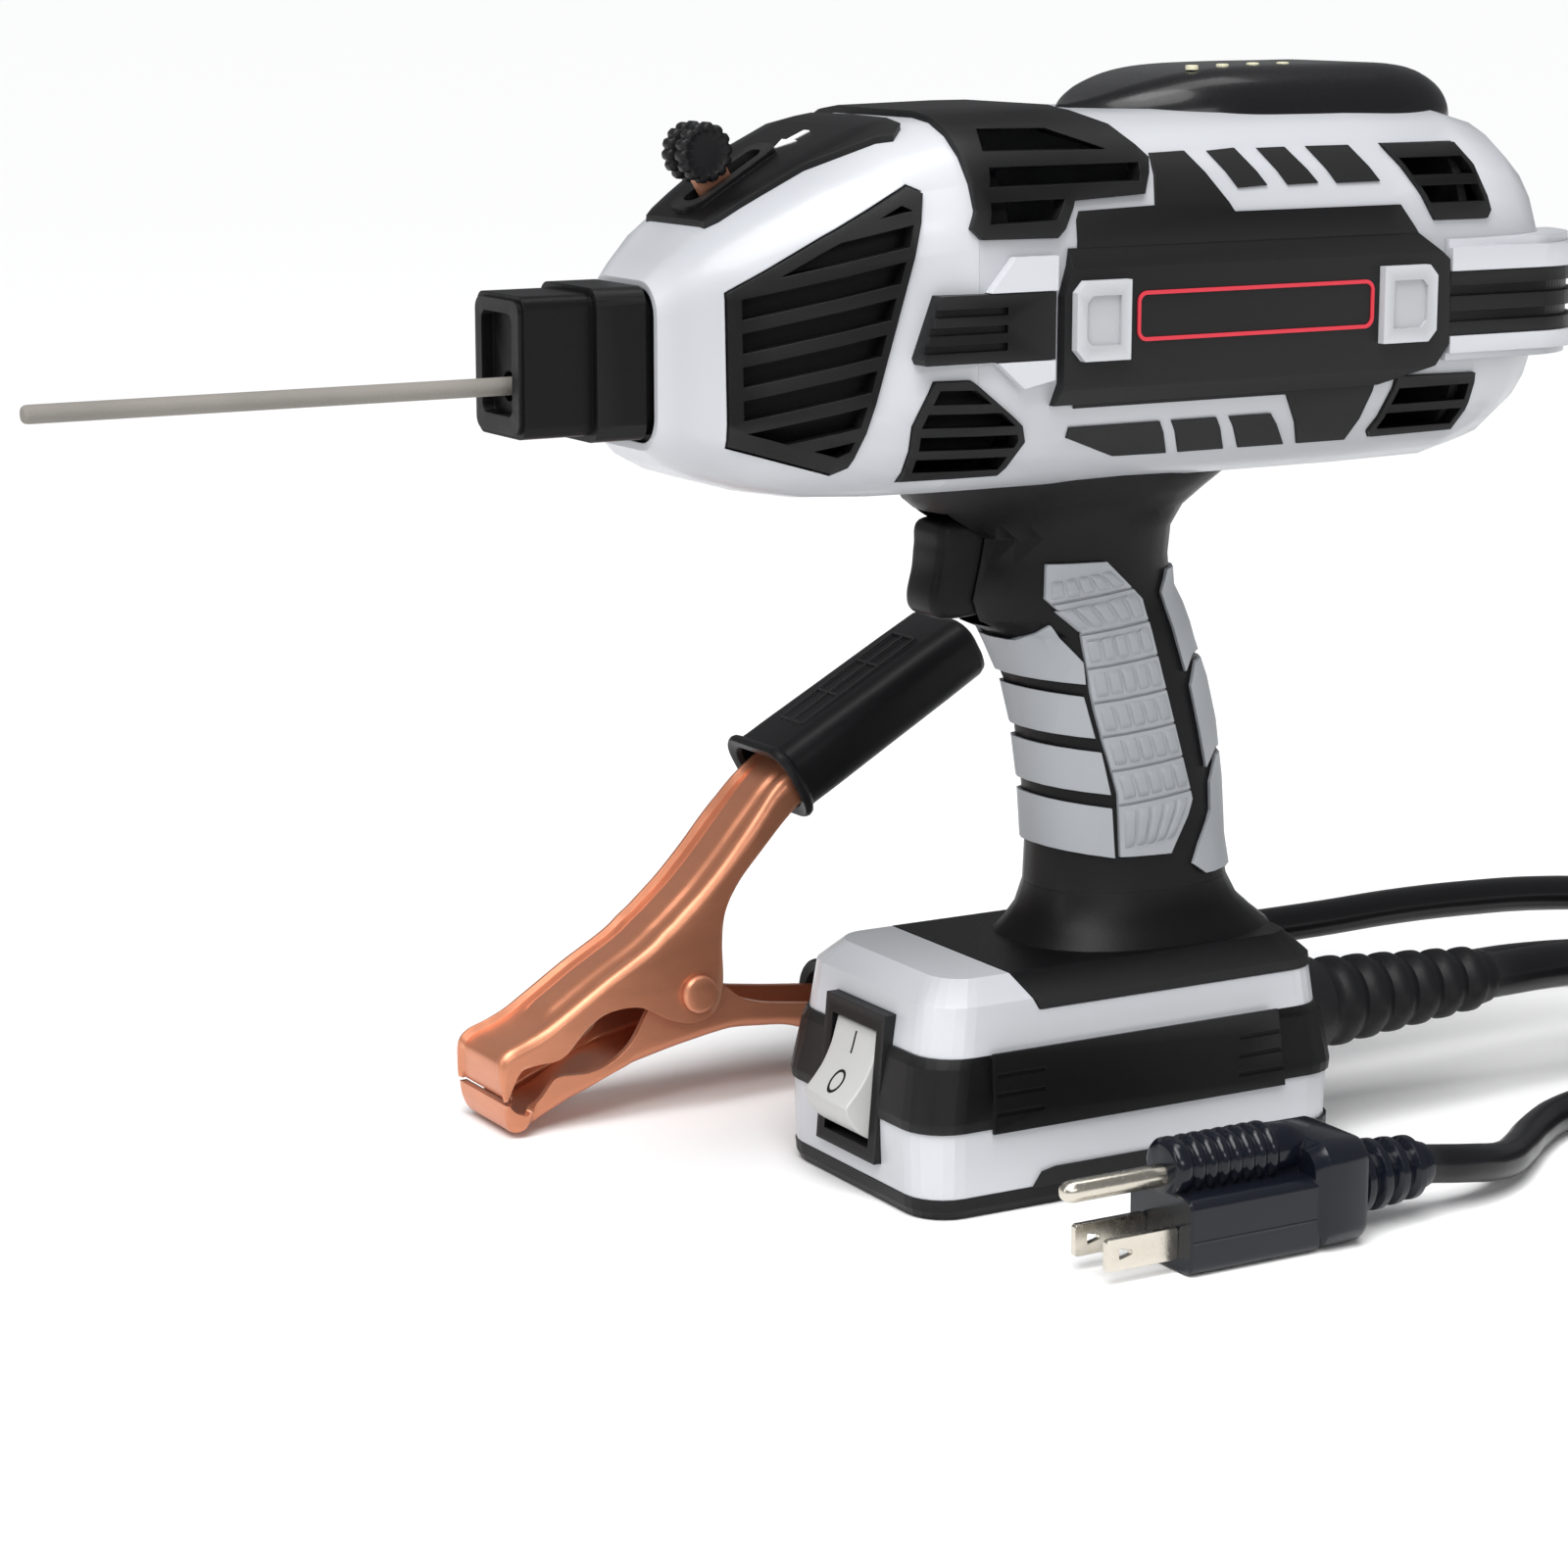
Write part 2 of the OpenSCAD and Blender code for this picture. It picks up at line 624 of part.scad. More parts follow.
module heat_sink() {
    color("#c9cccf") {
        block([-48, -6], [-24, 24], [board_z + 1.6, board_z + 6]);
        for (k = [0:7]) translate([-48, -24 + 6.55 * k, board_z + 6 - eps]) cube([42, 2, 30]);
    }
}

module transformer() {
    color("#4a3a2c") {
        difference() {
            block([4, 40], [-20, 20], [board_z + 1.6, board_z + 40]);
            block([0, 44], [-13, -6], [board_z + 8, board_z + 33]);
            block([0, 44], [6, 13], [board_z + 8, board_z + 33]);
        }
    }
    color(copper) for (y = [-9.5, 9.5]) block([1, 43], [y - 3, y + 3], [board_z + 9, board_z + 32]);
}

module output_choke() {
    color("#8c5a3a") translate([-67, 0, board_z + 16.6]) rotate([0, 90, 0]) difference() {
        cylinder(r = 15, h = 12, $fn = 48);
        translate([0, 0, -1]) cylinder(r = 6.5, h = 14, $fn = 48);
    }
}

module capacitors() {
    color("#23324f") for (y = [-16, 0, 16]) translate([64, y * 1.06, board_z + 1.6])
        cylinder(r = 7.8, h = 36, $fn = 40);
}

// ---------- grip ----------

module grip() {
    color(black) difference() {
        union() {
            difference() {
                grip_form(0, grip_seam, len(GRIP) - 1);
                grip_cut(-shell_wall, grip_seam, len(GRIP) - 1);
            }
            block([-10, 8], [-16.5, 16.5], [139.5, 142]);
            translate([trigger_pivot[0], 0, trigger_pivot[1]]) rotate([90, 0, 0])
                cylinder(r = 2, h = 27, center = true, $fn = 32);
        }
        difference() {
            block([-60, -12], [-7.7, 7.7], [138.2, 166.5]);
            translate([trigger_pivot[0], 0, trigger_pivot[1]]) rotate([90, 0, 0])
                cylinder(r = 2, h = 40, center = true, $fn = 32);
        }
        barrel(gap);
    }
}

module grip_patch(outline, high, from, to) {
    intersection() {
        difference() {
            grip_form(high, grip_seam, len(GRIP) - 1);
            grip_cut(gap, grip_seam, len(GRIP) - 1);
        }
        side(outline, from, to);
    }
}

module side_pad() {
    difference() {
        grip_patch(SIDE_PAD, 1.1, -30, -8);
        for (k = [0:6]) difference() {
            side([[-30, 142.6 - 9 * k], [40, 149.6 - 9 * k], [40, 150.3 - 9 * k],
                [-30, 143.3 - 9 * k]], -30, -8);
            grip_form(0.6, grip_seam, len(GRIP) - 1);
        }
    }
}

module side_pad_left() {
    color(soft_grey) side_pad();
}

module side_pad_right() {
    color(soft_grey) mirror([0, 1, 0]) side_pad();
}

module finger_pads() {
    color(soft_grey) for (p = FINGER_PADS) grip_patch(p, 1.1, -30, 30);
}

module rear_pads() {
    color(soft_grey) for (p = REAR_PADS) grip_patch(p, 1.1, -30, 30);
}

module trigger() {
    color(black) difference() {
        side(TRIGGER, -7.2, 7.2);
        translate([trigger_pivot[0], 0, trigger_pivot[1]]) rotate([90, 0, 0])
            cylinder(r = 2.05, h = 40, center = true, $fn = 32);
    }
}

module trigger_switch() {
    color("#303034") {
        block([-9, 7], [-6, 6], [142, 156]);
        block([-13, -9 + eps], [-2, 2], [146, 149]);
    }
}

// ---------- base ----------

module rocker_hole() {
    block([-70, -40], [-14, 14], [9.6, 46.7]);
}

// Where the two leads' bushings pass through the wall
module lead_holes() {
    translate([50, mains_exit[1], mains_exit[2]]) rotate([0, 90, 0])
        cylinder(r = 7.5 + gap, h = 20, $fn = 48);
    translate([50, earth_exit[1], earth_exit[2]]) rotate([0, 90, 0])
        cylinder(r = 12.6 + gap, h = 20, $fn = 64);
}

module base_space(z, high) {
    translate([0, 0, z]) linear_extrude(high) rounded(base_length - 14, base_width - 11, 6);
}

module base_lower() {
    color(white) difference() {
        base_form(BASE_LOWER);
        base_space(7.5, 20);
        rocker_hole();
        lead_holes();
    }
}

module base_band() {
    color(black) difference() {
        union() {
            base_form(BASE_BAND);
            both_sides() side([[-44, 40.3], [40.2, 40.3], [43, 20.3], [-43.6, 20.3]],
                -base_width / 2 - 1.2, -base_width / 2 - 0.35);
            both_sides() side([[-43.6, 39], [40, 39], [42.6, 21.8], [-43.2, 21.8]],
                -base_width / 2 - 1, -base_width / 2 + 4);
        }
        base_space(20, 21);
        both_sides() for (x = [-43, 28.4], z = [24.4, 29.2, 34])
            block([x, x + 14], [-base_width / 2 - 3, -base_width / 2 - 0.8], [z, z + 1.2]);
        rocker_hole();
        lead_holes();
    }
}

module base_hollow() {
    base_space(38, 12.5);
    translate([0, 0, 50]) linear_extrude(4.2) rounded(base_length - 25, base_width - 22, 5);
}

module base_upper() {
    color(white) difference() {
        base_form(BASE_UPPER);
        base_hollow();
        side([for (p = COVER) p - [0.2, 0.2]], -60, 60);
        rocker_hole();
        lead_holes();
    }
}

module base_cover() {
    color(black) difference() {
        union() {
            intersection() {
                base_form(BASE_UPPER, 0.3);
                side(COVER, -60, 60);
            }
            grip_form(0, 0, grip_seam);
        }
        base_hollow();
        grip_cut(-shell_wall, 1, grip_seam);
        translate([19, 0, 50]) cylinder(r = 19, h = 14, $fn = 48);
        lead_holes();
    }
}

// A dark tray under the base that climbs its sides behind the switch
module base_foot() {
    color(black) {
        base_form([[0, -1.6, -1.2, 10], [2, -0.6, -0.3, 10.5], [5, -0.4, -0.1, 10.5]]);
        intersection() {
            difference() {
                base_form(BASE_LOWER, 0.9);
                base_form(BASE_LOWER, gap, 1);
            }
            side([[-31.5, 5 - eps], [-29, 8.6], [-25, 9.4], [75, 9.4], [75, 5 - eps]], -60, 60);
        }
    }
}

module rocker_frame() {
    color(black) difference() {
        side([[-63.6, 9.7], [-60.6, 46.6], [-50, 46.6], [-50, 9.7]], -13.9, 13.9);
        difference() {
            block([-70, -40], [-10.4, 10.4], [rocker_pivot[1] - 14.6, rocker_pivot[1] + 14.6]);
            translate([rocker_pivot[0], 0, rocker_pivot[1]]) rotate([90, 0, 0])
                cylinder(r = 1.5, h = 30, center = true, $fn = 32);
        }
    }
}

// The rocker's ends are arcs about its pivot, and its face is hollow
module rocker() {
    color("#eeeeec") translate([rocker_pivot[0], 0, rocker_pivot[1]]) difference() {
        intersection() {
            rotate([90, 0, 0]) cylinder(r = rocker_radius, h = 20.2, center = true, $fn = 96);
            side([[-13.6, -3.8], [-10.6, -0.6], [-8.3, 2.2], [-6, 6.8], [-4.6, 11], [-3.8, 14.2],
                [-3.4, 20], [8, 20], [8, -20], [-13.6, -20]], -12, 12);
        }
        rotate([90, 0, 0]) cylinder(r = 1.55, h = 40, center = true, $fn = 32);
    }
}

module earth_relief() {
    color(black) translate([58, earth_exit[1], earth_exit[2]]) rotate([0, 90, 0]) {
        cylinder(r = 12.6, h = 9, $fn = 64);
        cylinder(r1 = 11.4, r2 = 7.6, h = earth_exit[0] - 58, $fn = 64);
        for (k = [0:5]) translate([0, 0, 15 + 8 * k]) cylinder(r = 11.7 - 0.5 * k, h = 4.4, $fn = 64);
    }
}

module mains_gland() {
    color(black) translate([52, mains_exit[1], mains_exit[2]]) rotate([0, 90, 0])
        cylinder(r = 7.5, h = mains_exit[0] - 52, $fn = 48);
}

// ---------- earth clamp ----------

// A jaw pressed from sheet: two cheeks and the web that joins them along its back
module channel(outline, back, wide) {
    intersection() {
        side(outline, clamp_y - wide / 2, clamp_y + wide / 2);
        union() {
            for (s = [-1, 1]) translate([0, clamp_y + s * (wide - jaw_sheet) / 2, 0])
                block([-200, 100], [-jaw_sheet / 2, jaw_sheet / 2], [-10, 150]);
            side(back, clamp_y - wide / 2, clamp_y + wide / 2);
        }
    }
}

module pivot_hole() {
    translate([pivot[0], clamp_y, pivot[1]]) rotate([90, 0, 0])
        cylinder(r = 3.05, h = 60, center = true, $fn = 48);
}

module clamp_jaw_upper() {
    back = concat([for (i = [0:7]) UPPER_JAW[i] + [-3, 3]],
        [for (i = [7:-1:0]) UPPER_JAW[i] + [1.8, -2.2]]);
    color(copper) difference() {
        union() {
            channel(UPPER_JAW, back, clamp_width);
            side([UPPER_JAW[0], UPPER_JAW[len(UPPER_JAW) - 1], [-113, 14], [-113, 22]],
                clamp_y - clamp_width / 2, clamp_y + clamp_width / 2);
        }
        pivot_hole();
    }
}

module clamp_jaw_lower() {
    wide = clamp_width - 2 * jaw_sheet - 0.6;
    back = [[-120, -3], [-110, -4], [-86.5, 8], [-67, 12], [-49.7, 15], [-20, 12], [2, 10], [2, 15],
        [-20, 17.4], [-34, 20],
        [-49.7, 21.2], [-67, 18.6], [-86.5, 14.4], [-101.2, 8.2], [-112, 4], [-120, 3]];
    color(copper) difference() {
        union() {
            channel(LOWER_JAW, back, wide);
            side([[-118.9, 9.5], [-117, 1.5], [-114.7, 0], [-108, 3], [-112.4, 5.6]],
                clamp_y - clamp_width / 2, clamp_y + clamp_width / 2);
        }
        pivot_hole();
    }
}

module clamp_pin() {
    color(copper) translate([pivot[0], clamp_y, pivot[1]]) rotate([90, 0, 0]) {
        cylinder(r = 3, h = clamp_width + 1, center = true, $fn = 48);
        for (s = [-1, 1]) translate([0, 0, s * (clamp_width / 2 + 1.1)])
            cylinder(r = 5, h = 2, center = true, $fn = 48);
    }
}

// A vinyl sleeve: an oval tube with a flared lip, along one direction
module sleeve(from, turn, long, deep, wide) {
    translate([from[0], clamp_y, from[1]]) rotate([0, turn, 0]) difference() {
        union() {
            linear_extrude(long) oval(deep, wide);
            linear_extrude(3) oval(deep + 3, wide + 3);
        }
        translate([0, 0, -1]) linear_extrude(long - 2) oval(deep - 3, wide - 3);
    }
}

module oval(deep, wide) {
    rounded(deep, wide, deep / 2 - 3.5);
}

module sleeve_upper() {
    color(black) sleeve([-34, 83.5], 60.6, 67, 21, 33);
}

module sleeve_lower() {
    color(black) sleeve([-15, 18.5], 96.7, 66, 21, 33);
}

// ---------- plug ----------

plug_y = -85;
plug_x = -29;

// A box around the two blades, a ribbed barrel around the earth pin, and a collar
module plug_body() {
    color(black) {
        translate([plug_x, plug_y, 9]) rotate([0, 90, 0]) linear_extrude(37) rounded(18, 25, 2);
        translate([plug_x, plug_y, 22.8]) rotate([0, 90, 0]) {
            cylinder(r = 7.3, h = 3.6, $fn = 48);
            cylinder(r = 6.5, h = 32, $fn = 48);
            for (k = [0:6]) translate([0, 0, 5.6 + 3.4 * k]) cylinder(r = 7.3, h = 2, $fn = 48);
            translate([0, 0, 32 - eps]) cylinder(r1 = 6.5, r2 = 3, h = 8, $fn = 48);
        }
        block([plug_x + 1, plug_x + 37], [plug_y - 5, plug_y + 5], [17, 22]);
        translate([plug_x + 36, plug_y, 13]) rotate([0, 90, 0]) linear_extrude(15) rounded(26, 28, 5);
    }
}

module plug_relief() {
    color(black) translate([plug_x + 51, plug_y, 12]) rotate([0, 90, 0]) {
        cylinder(r1 = 8.6, r2 = 6.4, h = 26, $fn = 48);
        for (k = [0:3]) translate([0, 0, 3 + 5.6 * k]) cylinder(r = 9.3 - 0.5 * k, h = 3, $fn = 48);
    }
}

module plug_pins() {
    color(steel) {
        for (y = [-6.5, 6.5]) difference() {
            block([plug_x - 20, plug_x], [plug_y + y - 0.8, plug_y + y + 0.8], [3, 10.7]);
            translate([plug_x - 15, plug_y + y, 6.8]) rotate([90, 0, 0])
                cylinder(r = 1.9, h = 5, center = true, $fn = 32);
        }
        translate([plug_x - 28, plug_y, 21.3]) rotate([0, 90, 0]) cylinder(r = 2.7, h = 28, $fn = 40);
    }
}

// ---------- leads ----------

module mains_lead_out() {
    color(black) cord(MAINS_OUT, mains_dia);
}

module mains_coil() {
    color(black) coil_solid(mains_coil_at, mains_coil_radii, mains_coil_high);
}

module mains_lead_plug() {
    color(black) cord(MAINS_PLUG, mains_dia);
}

module earth_lead_out() {
    color(black) cord(EARTH_OUT, earth_dia);
}

module earth_coil() {
    color(black) coil_solid(earth_coil_at, earth_coil_radii, earth_coil_high);
}

module earth_lead_clamp() {
    color(black) cord(EARTH_CLAMP, earth_dia);
}

front_shell();
rear_shell();
saddle_band();
nozzle();
top_plate();
feed_blade();
feed_knob();
electrode();
electrode_clamp();
front_vent_left();
front_vent_right();
lower_vents();
panel_left();
panel_right();
badge_frames();
latches_left();
latches_right();
side_rails();
tail_guards();
tail_ledges();
rear_vents();
dome();
rear_grille();
fan_frame();
fan();
main_board();
heat_sink();
transformer();
output_choke();
capacitors();
grip();
side_pad_left();
side_pad_right();
finger_pads();
rear_pads();
trigger();
trigger_switch();
base_lower();
base_band();
base_upper();
base_cover();
base_foot();
rocker_frame();
rocker();
earth_relief();
mains_gland();
clamp_jaw_lower();
clamp_jaw_upper();
clamp_pin();
sleeve_lower();
sleeve_upper();
plug_body();
plug_relief();
plug_pins();
mains_lead_out();
mains_coil();
mains_lead_plug();
earth_lead_out();
earth_coil();
earth_lead_clamp();
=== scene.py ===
import json
import math

import bmesh
import bpy
import numpy as np
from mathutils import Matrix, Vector


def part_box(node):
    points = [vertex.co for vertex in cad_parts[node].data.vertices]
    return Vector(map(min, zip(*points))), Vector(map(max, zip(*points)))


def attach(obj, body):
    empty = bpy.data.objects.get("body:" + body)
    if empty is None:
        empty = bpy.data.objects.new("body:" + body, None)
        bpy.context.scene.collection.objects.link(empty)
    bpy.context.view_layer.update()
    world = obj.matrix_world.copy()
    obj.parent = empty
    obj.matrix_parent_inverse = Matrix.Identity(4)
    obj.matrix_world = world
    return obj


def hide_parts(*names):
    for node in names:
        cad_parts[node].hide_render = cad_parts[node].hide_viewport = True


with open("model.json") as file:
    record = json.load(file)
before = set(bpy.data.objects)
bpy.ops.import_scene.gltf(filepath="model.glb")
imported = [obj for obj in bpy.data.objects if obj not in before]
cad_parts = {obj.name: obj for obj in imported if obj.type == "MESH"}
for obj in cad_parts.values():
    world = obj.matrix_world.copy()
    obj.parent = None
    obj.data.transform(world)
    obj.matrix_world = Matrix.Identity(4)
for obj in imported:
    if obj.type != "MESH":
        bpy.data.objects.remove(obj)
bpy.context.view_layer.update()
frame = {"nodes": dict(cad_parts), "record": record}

# The finished look of the welding gun. Tables of points and sizes are millimetres in the CAD's
# frame: origin under the middle of the base, z up, the nozzle towards -x. MM makes them metres.
MM = 0.001
TAU = 2 * math.pi


def put(name, data):
    """A new object in the scene."""
    obj = bpy.data.objects.new(name, data)
    bpy.context.collection.objects.link(obj)
    return obj


# ---------- camera, floor and light ----------

def make_camera():
    """The photo's view: about 1 m away, 12 degrees down, 30 degrees left of the side view."""
    data = bpy.data.cameras.new("camera")
    data.lens = 90.45
    data.sensor_width = 36
    data.clip_start, data.clip_end = 0.01, 200
    cam = put("camera", data)
    cam.location = (-0.5383, -0.7989, 0.2979)
    cam.rotation_euler = (math.radians(90 - 11.92), 0, math.radians(-29.8))
    bpy.context.scene.camera = cam


def area_light(name, place, aim, size, power):
    """A softbox at place that faces aim, in metres."""
    data = bpy.data.lights.new(name, "AREA")
    data.shape = "RECTANGLE"
    data.size, data.size_y = size
    data.energy = power
    lamp = put(name, data)
    lamp.location = place
    lamp.rotation_euler = (Vector(aim) - Vector(place)).to_track_quat("-Z", "Y").to_euler()


def make_stage():
    """White floor, studio light from all round and three softboxes."""
    reach, gap = 60, 0.0004
    mesh = bpy.data.meshes.new("floor")
    mesh.from_pydata([(-reach, -reach, 0), (reach, -reach, 0), (reach, reach, 0), (-reach, reach, 0)],
                     [], [(0, 1, 2, 3)])
    floor = put("floor", mesh)
    floor.location.z = -gap
    mat = bpy.data.materials.new("floor")
    mat.use_nodes = True
    shader = mat.node_tree.nodes["Principled BSDF"]
    shader.inputs["Base Color"].default_value = (0.95, 0.95, 0.95, 1)
    shader.inputs["Roughness"].default_value = 0.95
    shader.inputs["Specular IOR Level"].default_value = 0.1
    mesh.materials.append(mat)
    world = bpy.data.worlds.new("studio")
    world.use_nodes = True
    world.node_tree.nodes["Background"].inputs["Color"].default_value = (0.97, 0.98, 1, 1)
    world.node_tree.nodes["Background"].inputs["Strength"].default_value = 0.25
    bpy.context.scene.world = world
    bpy.context.scene.view_settings.view_transform = "Standard"
    sun_data = bpy.data.lights.new("sky", "SUN")
    sun_data.energy = 2.95
    sun_data.angle = math.radians(45)
    sun = put("sky", sun_data)
    sun.rotation_euler = (math.radians(22), math.radians(-22), 0)
    area_light("top", (0.05, -0.15, 1.3), (0, 0, 0.15), (1.2, 0.35), 5)
    area_light("side", (-0.2, -1.5, 0.75), (0, 0, 0.15), (0.9, 0.25), 4)
    area_light("front", (-1.5, -0.1, 0.7), (-0.05, 0, 0.15), (0.3, 0.9), 3)


# ---------- materials ----------

def add(tree, kind, **sockets):
    """A shader node with its sockets set."""
    node = tree.nodes.new(kind)
    for name, value in sockets.items():
        node.inputs[name.replace("_", " ")].default_value = value
    return node


def material(name, color, rough, metal=0.0, grain=0.0, grain_scale=900.0, vary=0.06, wear_and_highlight=0.15,
             wear_and_highlight_color=None, coat=0.0, edge=0.35, stretch=(1, 1, 1), rough_vary=0.08):
    """Moulded or metal surface: fine grain, uneven gloss, slight colour drift and lighter edges, which
    are part wear and part painted edge highlight.
    """
    mat = bpy.data.materials.new(name)
    mat.use_nodes = True
    tree = mat.node_tree
    link = tree.links.new
    shader = tree.nodes["Principled BSDF"]
    shader.inputs["Metallic"].default_value = metal
    shader.inputs["Coat Weight"].default_value = coat
    shader.inputs["Coat Roughness"].default_value = 0.12
    shader.inputs["IOR"].default_value = 1.5
    is_dark = max(color) < 0.03
    shader.inputs["Specular IOR Level"].default_value = 0.18 if is_dark else 0.5
    place = tree.nodes.new("ShaderNodeTexCoord")
    spread = tree.nodes.new("ShaderNodeMapping")
    spread.inputs["Scale"].default_value = stretch
    link(place.outputs["Object"], spread.inputs["Vector"])
    broad = add(tree, "ShaderNodeTexNoise", Scale=38.0, Detail=4.0)
    fine = add(tree, "ShaderNodeTexNoise", Scale=grain_scale, Detail=3.0)
    for noise in (broad, fine):
        link(spread.outputs["Vector"], noise.inputs["Vector"])
    shade = tree.nodes.new("ShaderNodeMix")
    shade.data_type = "RGBA"
    shade.inputs["A"].default_value = (*[c * (1 - vary) for c in color], 1)
    shade.inputs["B"].default_value = (*[min(1, c * (1 + vary)) for c in color], 1)
    link(broad.outputs["Fac"], shade.inputs["Factor"])
    gloss = tree.nodes.new("ShaderNodeMapRange")
    gloss.inputs["To Min"].default_value = max(0.02, rough - rough_vary)
    gloss.inputs["To Max"].default_value = min(1.0, rough + rough_vary)
    link(fine.outputs["Fac"], gloss.inputs["Value"])
    link(gloss.outputs["Result"], shader.inputs["Roughness"])
    # Lighter colour on convex edges, found by pointiness: part worn edges, part painted highlight along
    # the edges.
    geometry = tree.nodes.new("ShaderNodeNewGeometry")
    wear_and_highlight_mask = tree.nodes.new("ShaderNodeMapRange")
    wear_and_highlight_mask.inputs["From Min"].default_value = 0.53
    wear_and_highlight_mask.inputs["From Max"].default_value = 0.62
    wear_and_highlight_mask.inputs["To Max"].default_value = wear_and_highlight
    link(geometry.outputs["Pointiness"], wear_and_highlight_mask.inputs["Value"])
    tone = tree.nodes.new("ShaderNodeMix")
    tone.data_type = "RGBA"
    bright = wear_and_highlight_color or [min(1, c * 1.6 + 0.05) for c in color]
    tone.inputs["B"].default_value = (*bright, 1)
    link(wear_and_highlight_mask.outputs["Result"], tone.inputs["Factor"])
    link(shade.outputs["Result"], tone.inputs["A"])
    link(tone.outputs["Result"], shader.inputs["Base Color"])
    rounded = add(tree, "ShaderNodeBevel", Radius=edge * MM)
    rounded.samples = 4
    bump = add(tree, "ShaderNodeBump", Strength=min(1.0, grain), Distance=0.00012)
    link(fine.outputs["Fac"], bump.inputs["Height"])
    link(rounded.outputs["Normal"], bump.inputs["Normal"])
    link(bump.outputs["Normal"], shader.inputs["Normal"])
    return mat


MAT = {}


def make_materials():
    """One material for each slot, and three more for the marks and the lenses."""
    white = (0.43, 0.442, 0.468)
    black = (0.003, 0.003, 0.0035)
    dark = (0.008, 0.008, 0.009)
    # The lighter edge colours given to the materials below are part wear, part painted edge highlight.
    MAT.update(
        shell_white=material("shell_white", white, 0.33, grain=0.10, grain_scale=1400, vary=0.02,
                             wear_and_highlight=0.3, wear_and_highlight_color=(0.85, 0.86, 0.9), coat=0.2),
        black_plastic=material("black_plastic", black, 0.42, grain=0.35, grain_scale=2200, wear_and_highlight=0.25),
        knob_plastic=material("knob_plastic", dark, 0.38, grain=0.2, wear_and_highlight=0.3),
        dome_gloss=material("dome_gloss", dark, 0.30, grain=0.15, coat=0.2),
        copper=material("copper", (0.62, 0.25, 0.14), 0.34, metal=0.65, grain=0.25, grain_scale=500,
                        vary=0.12, stretch=(1, 1, 6), wear_and_highlight=0.35, wear_and_highlight_color=(0.85, 0.47, 0.32)),
        electrode_coating=material("electrode_coating", (0.22, 0.205, 0.185), 0.8, grain=1.0,
                                   grain_scale=1500, vary=0.2, wear_and_highlight=0.1),
        badge_red=material("badge_red", (0.58, 0.02, 0.04), 0.35, edge=0.05, vary=0.05, wear_and_highlight=0.1),
        latch_grey=material("latch_grey", (0.42, 0.43, 0.45), 0.45, grain=0.3, wear_and_highlight=0.3),
        inner_plastic=material("inner_plastic", dark, 0.6, grain=0.3),
        board_green=material("board_green", (0.006, 0.03, 0.014), 0.5),
        heat_sink_alu=material("heat_sink_alu", (0.7, 0.71, 0.72), 0.35, metal=0.9),
        core_iron=material("core_iron", (0.02, 0.018, 0.017), 0.6),
        capacitor_sleeve=material("capacitor_sleeve", (0.02, 0.04, 0.12), 0.4),
        pad_rubber=material("pad_rubber", (0.30, 0.315, 0.335), 0.5, grain=0.35, grain_scale=1600,
                            wear_and_highlight=0.2),
        rocker_white=material("rocker_white", (0.52, 0.52, 0.51), 0.34, vary=0.02, wear_and_highlight=0.05,
                              wear_and_highlight_color=(0.6, 0.6, 0.6), rough_vary=0.03),
        cable_rubber=material("cable_rubber", dark, 0.45, grain=0.3, wear_and_highlight=0.2),
        sleeve_vinyl=material("sleeve_vinyl", dark, 0.4, grain=0.25, wear_and_highlight=0.2),
        plug_vinyl=material("plug_vinyl", (0.004, 0.0055, 0.010), 0.22, grain=0.1, coat=0.3, wear_and_highlight=0.2),
        pin_nickel=material("pin_nickel", (0.62, 0.58, 0.50), 0.25, metal=1.0, grain=0.15,
                            grain_scale=700, vary=0.08, wear_and_highlight=0.3, wear_and_highlight_color=(0.85, 0.82, 0.76)),
        cable_gloss=material("cable_gloss", (0.006, 0.006, 0.007), 0.3, grain=0.03, coat=0.15, edge=0.05,
                             rough_vary=0.03),
        mark_black=material("mark_black", (0.004, 0.004, 0.004), 0.5, edge=0.05),
        mark_white=material("mark_white", (0.85, 0.85, 0.83), 0.5, edge=0.05),
        lens=material("lens", (0.75, 0.72, 0.5), 0.2, edge=0.05, coat=0.3),
    )


# ---------- mesh helpers ----------

def soften(mesh, angle):
    """Smooth shading with the edges sharper than angle kept."""
    bm = bmesh.new()
    bm.from_mesh(mesh)
    for face in bm.faces:
        face.smooth = True
    limit = math.radians(angle)
    for edge in bm.edges:
        edge.smooth = len(edge.link_faces) == 2 and edge.calc_face_angle(0) < limit
    bm.to_mesh(mesh)
    bm.free()


def piece(name, solid, slot, body, stands_for=(), angle=30, mat=None):
    """A finished piece on a body; it replaces the CAD nodes in stands_for."""
    mesh = solid.mesh(name)
    mesh.materials.append(mat or MAT[slot])
    soften(mesh, angle)
    obj = put(name, mesh)
    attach(obj, body)
    if stands_for:
        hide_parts(*stands_for)
    return obj


def round_edges(obj, width, segments, angle):
    """Rounds the edges that are sharper than angle."""
    edge = obj.modifiers.new("edge", "BEVEL")
    edge.width, edge.segments, edge.limit_method = width * MM, segments, "ANGLE"
    edge.angle_limit = math.radians(angle)


def thicken(obj, thickness):
    """Gives an open skin its thickness, inwards."""
    sheet = obj.modifiers.new("sheet", "SOLIDIFY")
    sheet.thickness = thickness * MM
    sheet.offset = -1


# ---------- shapes ----------

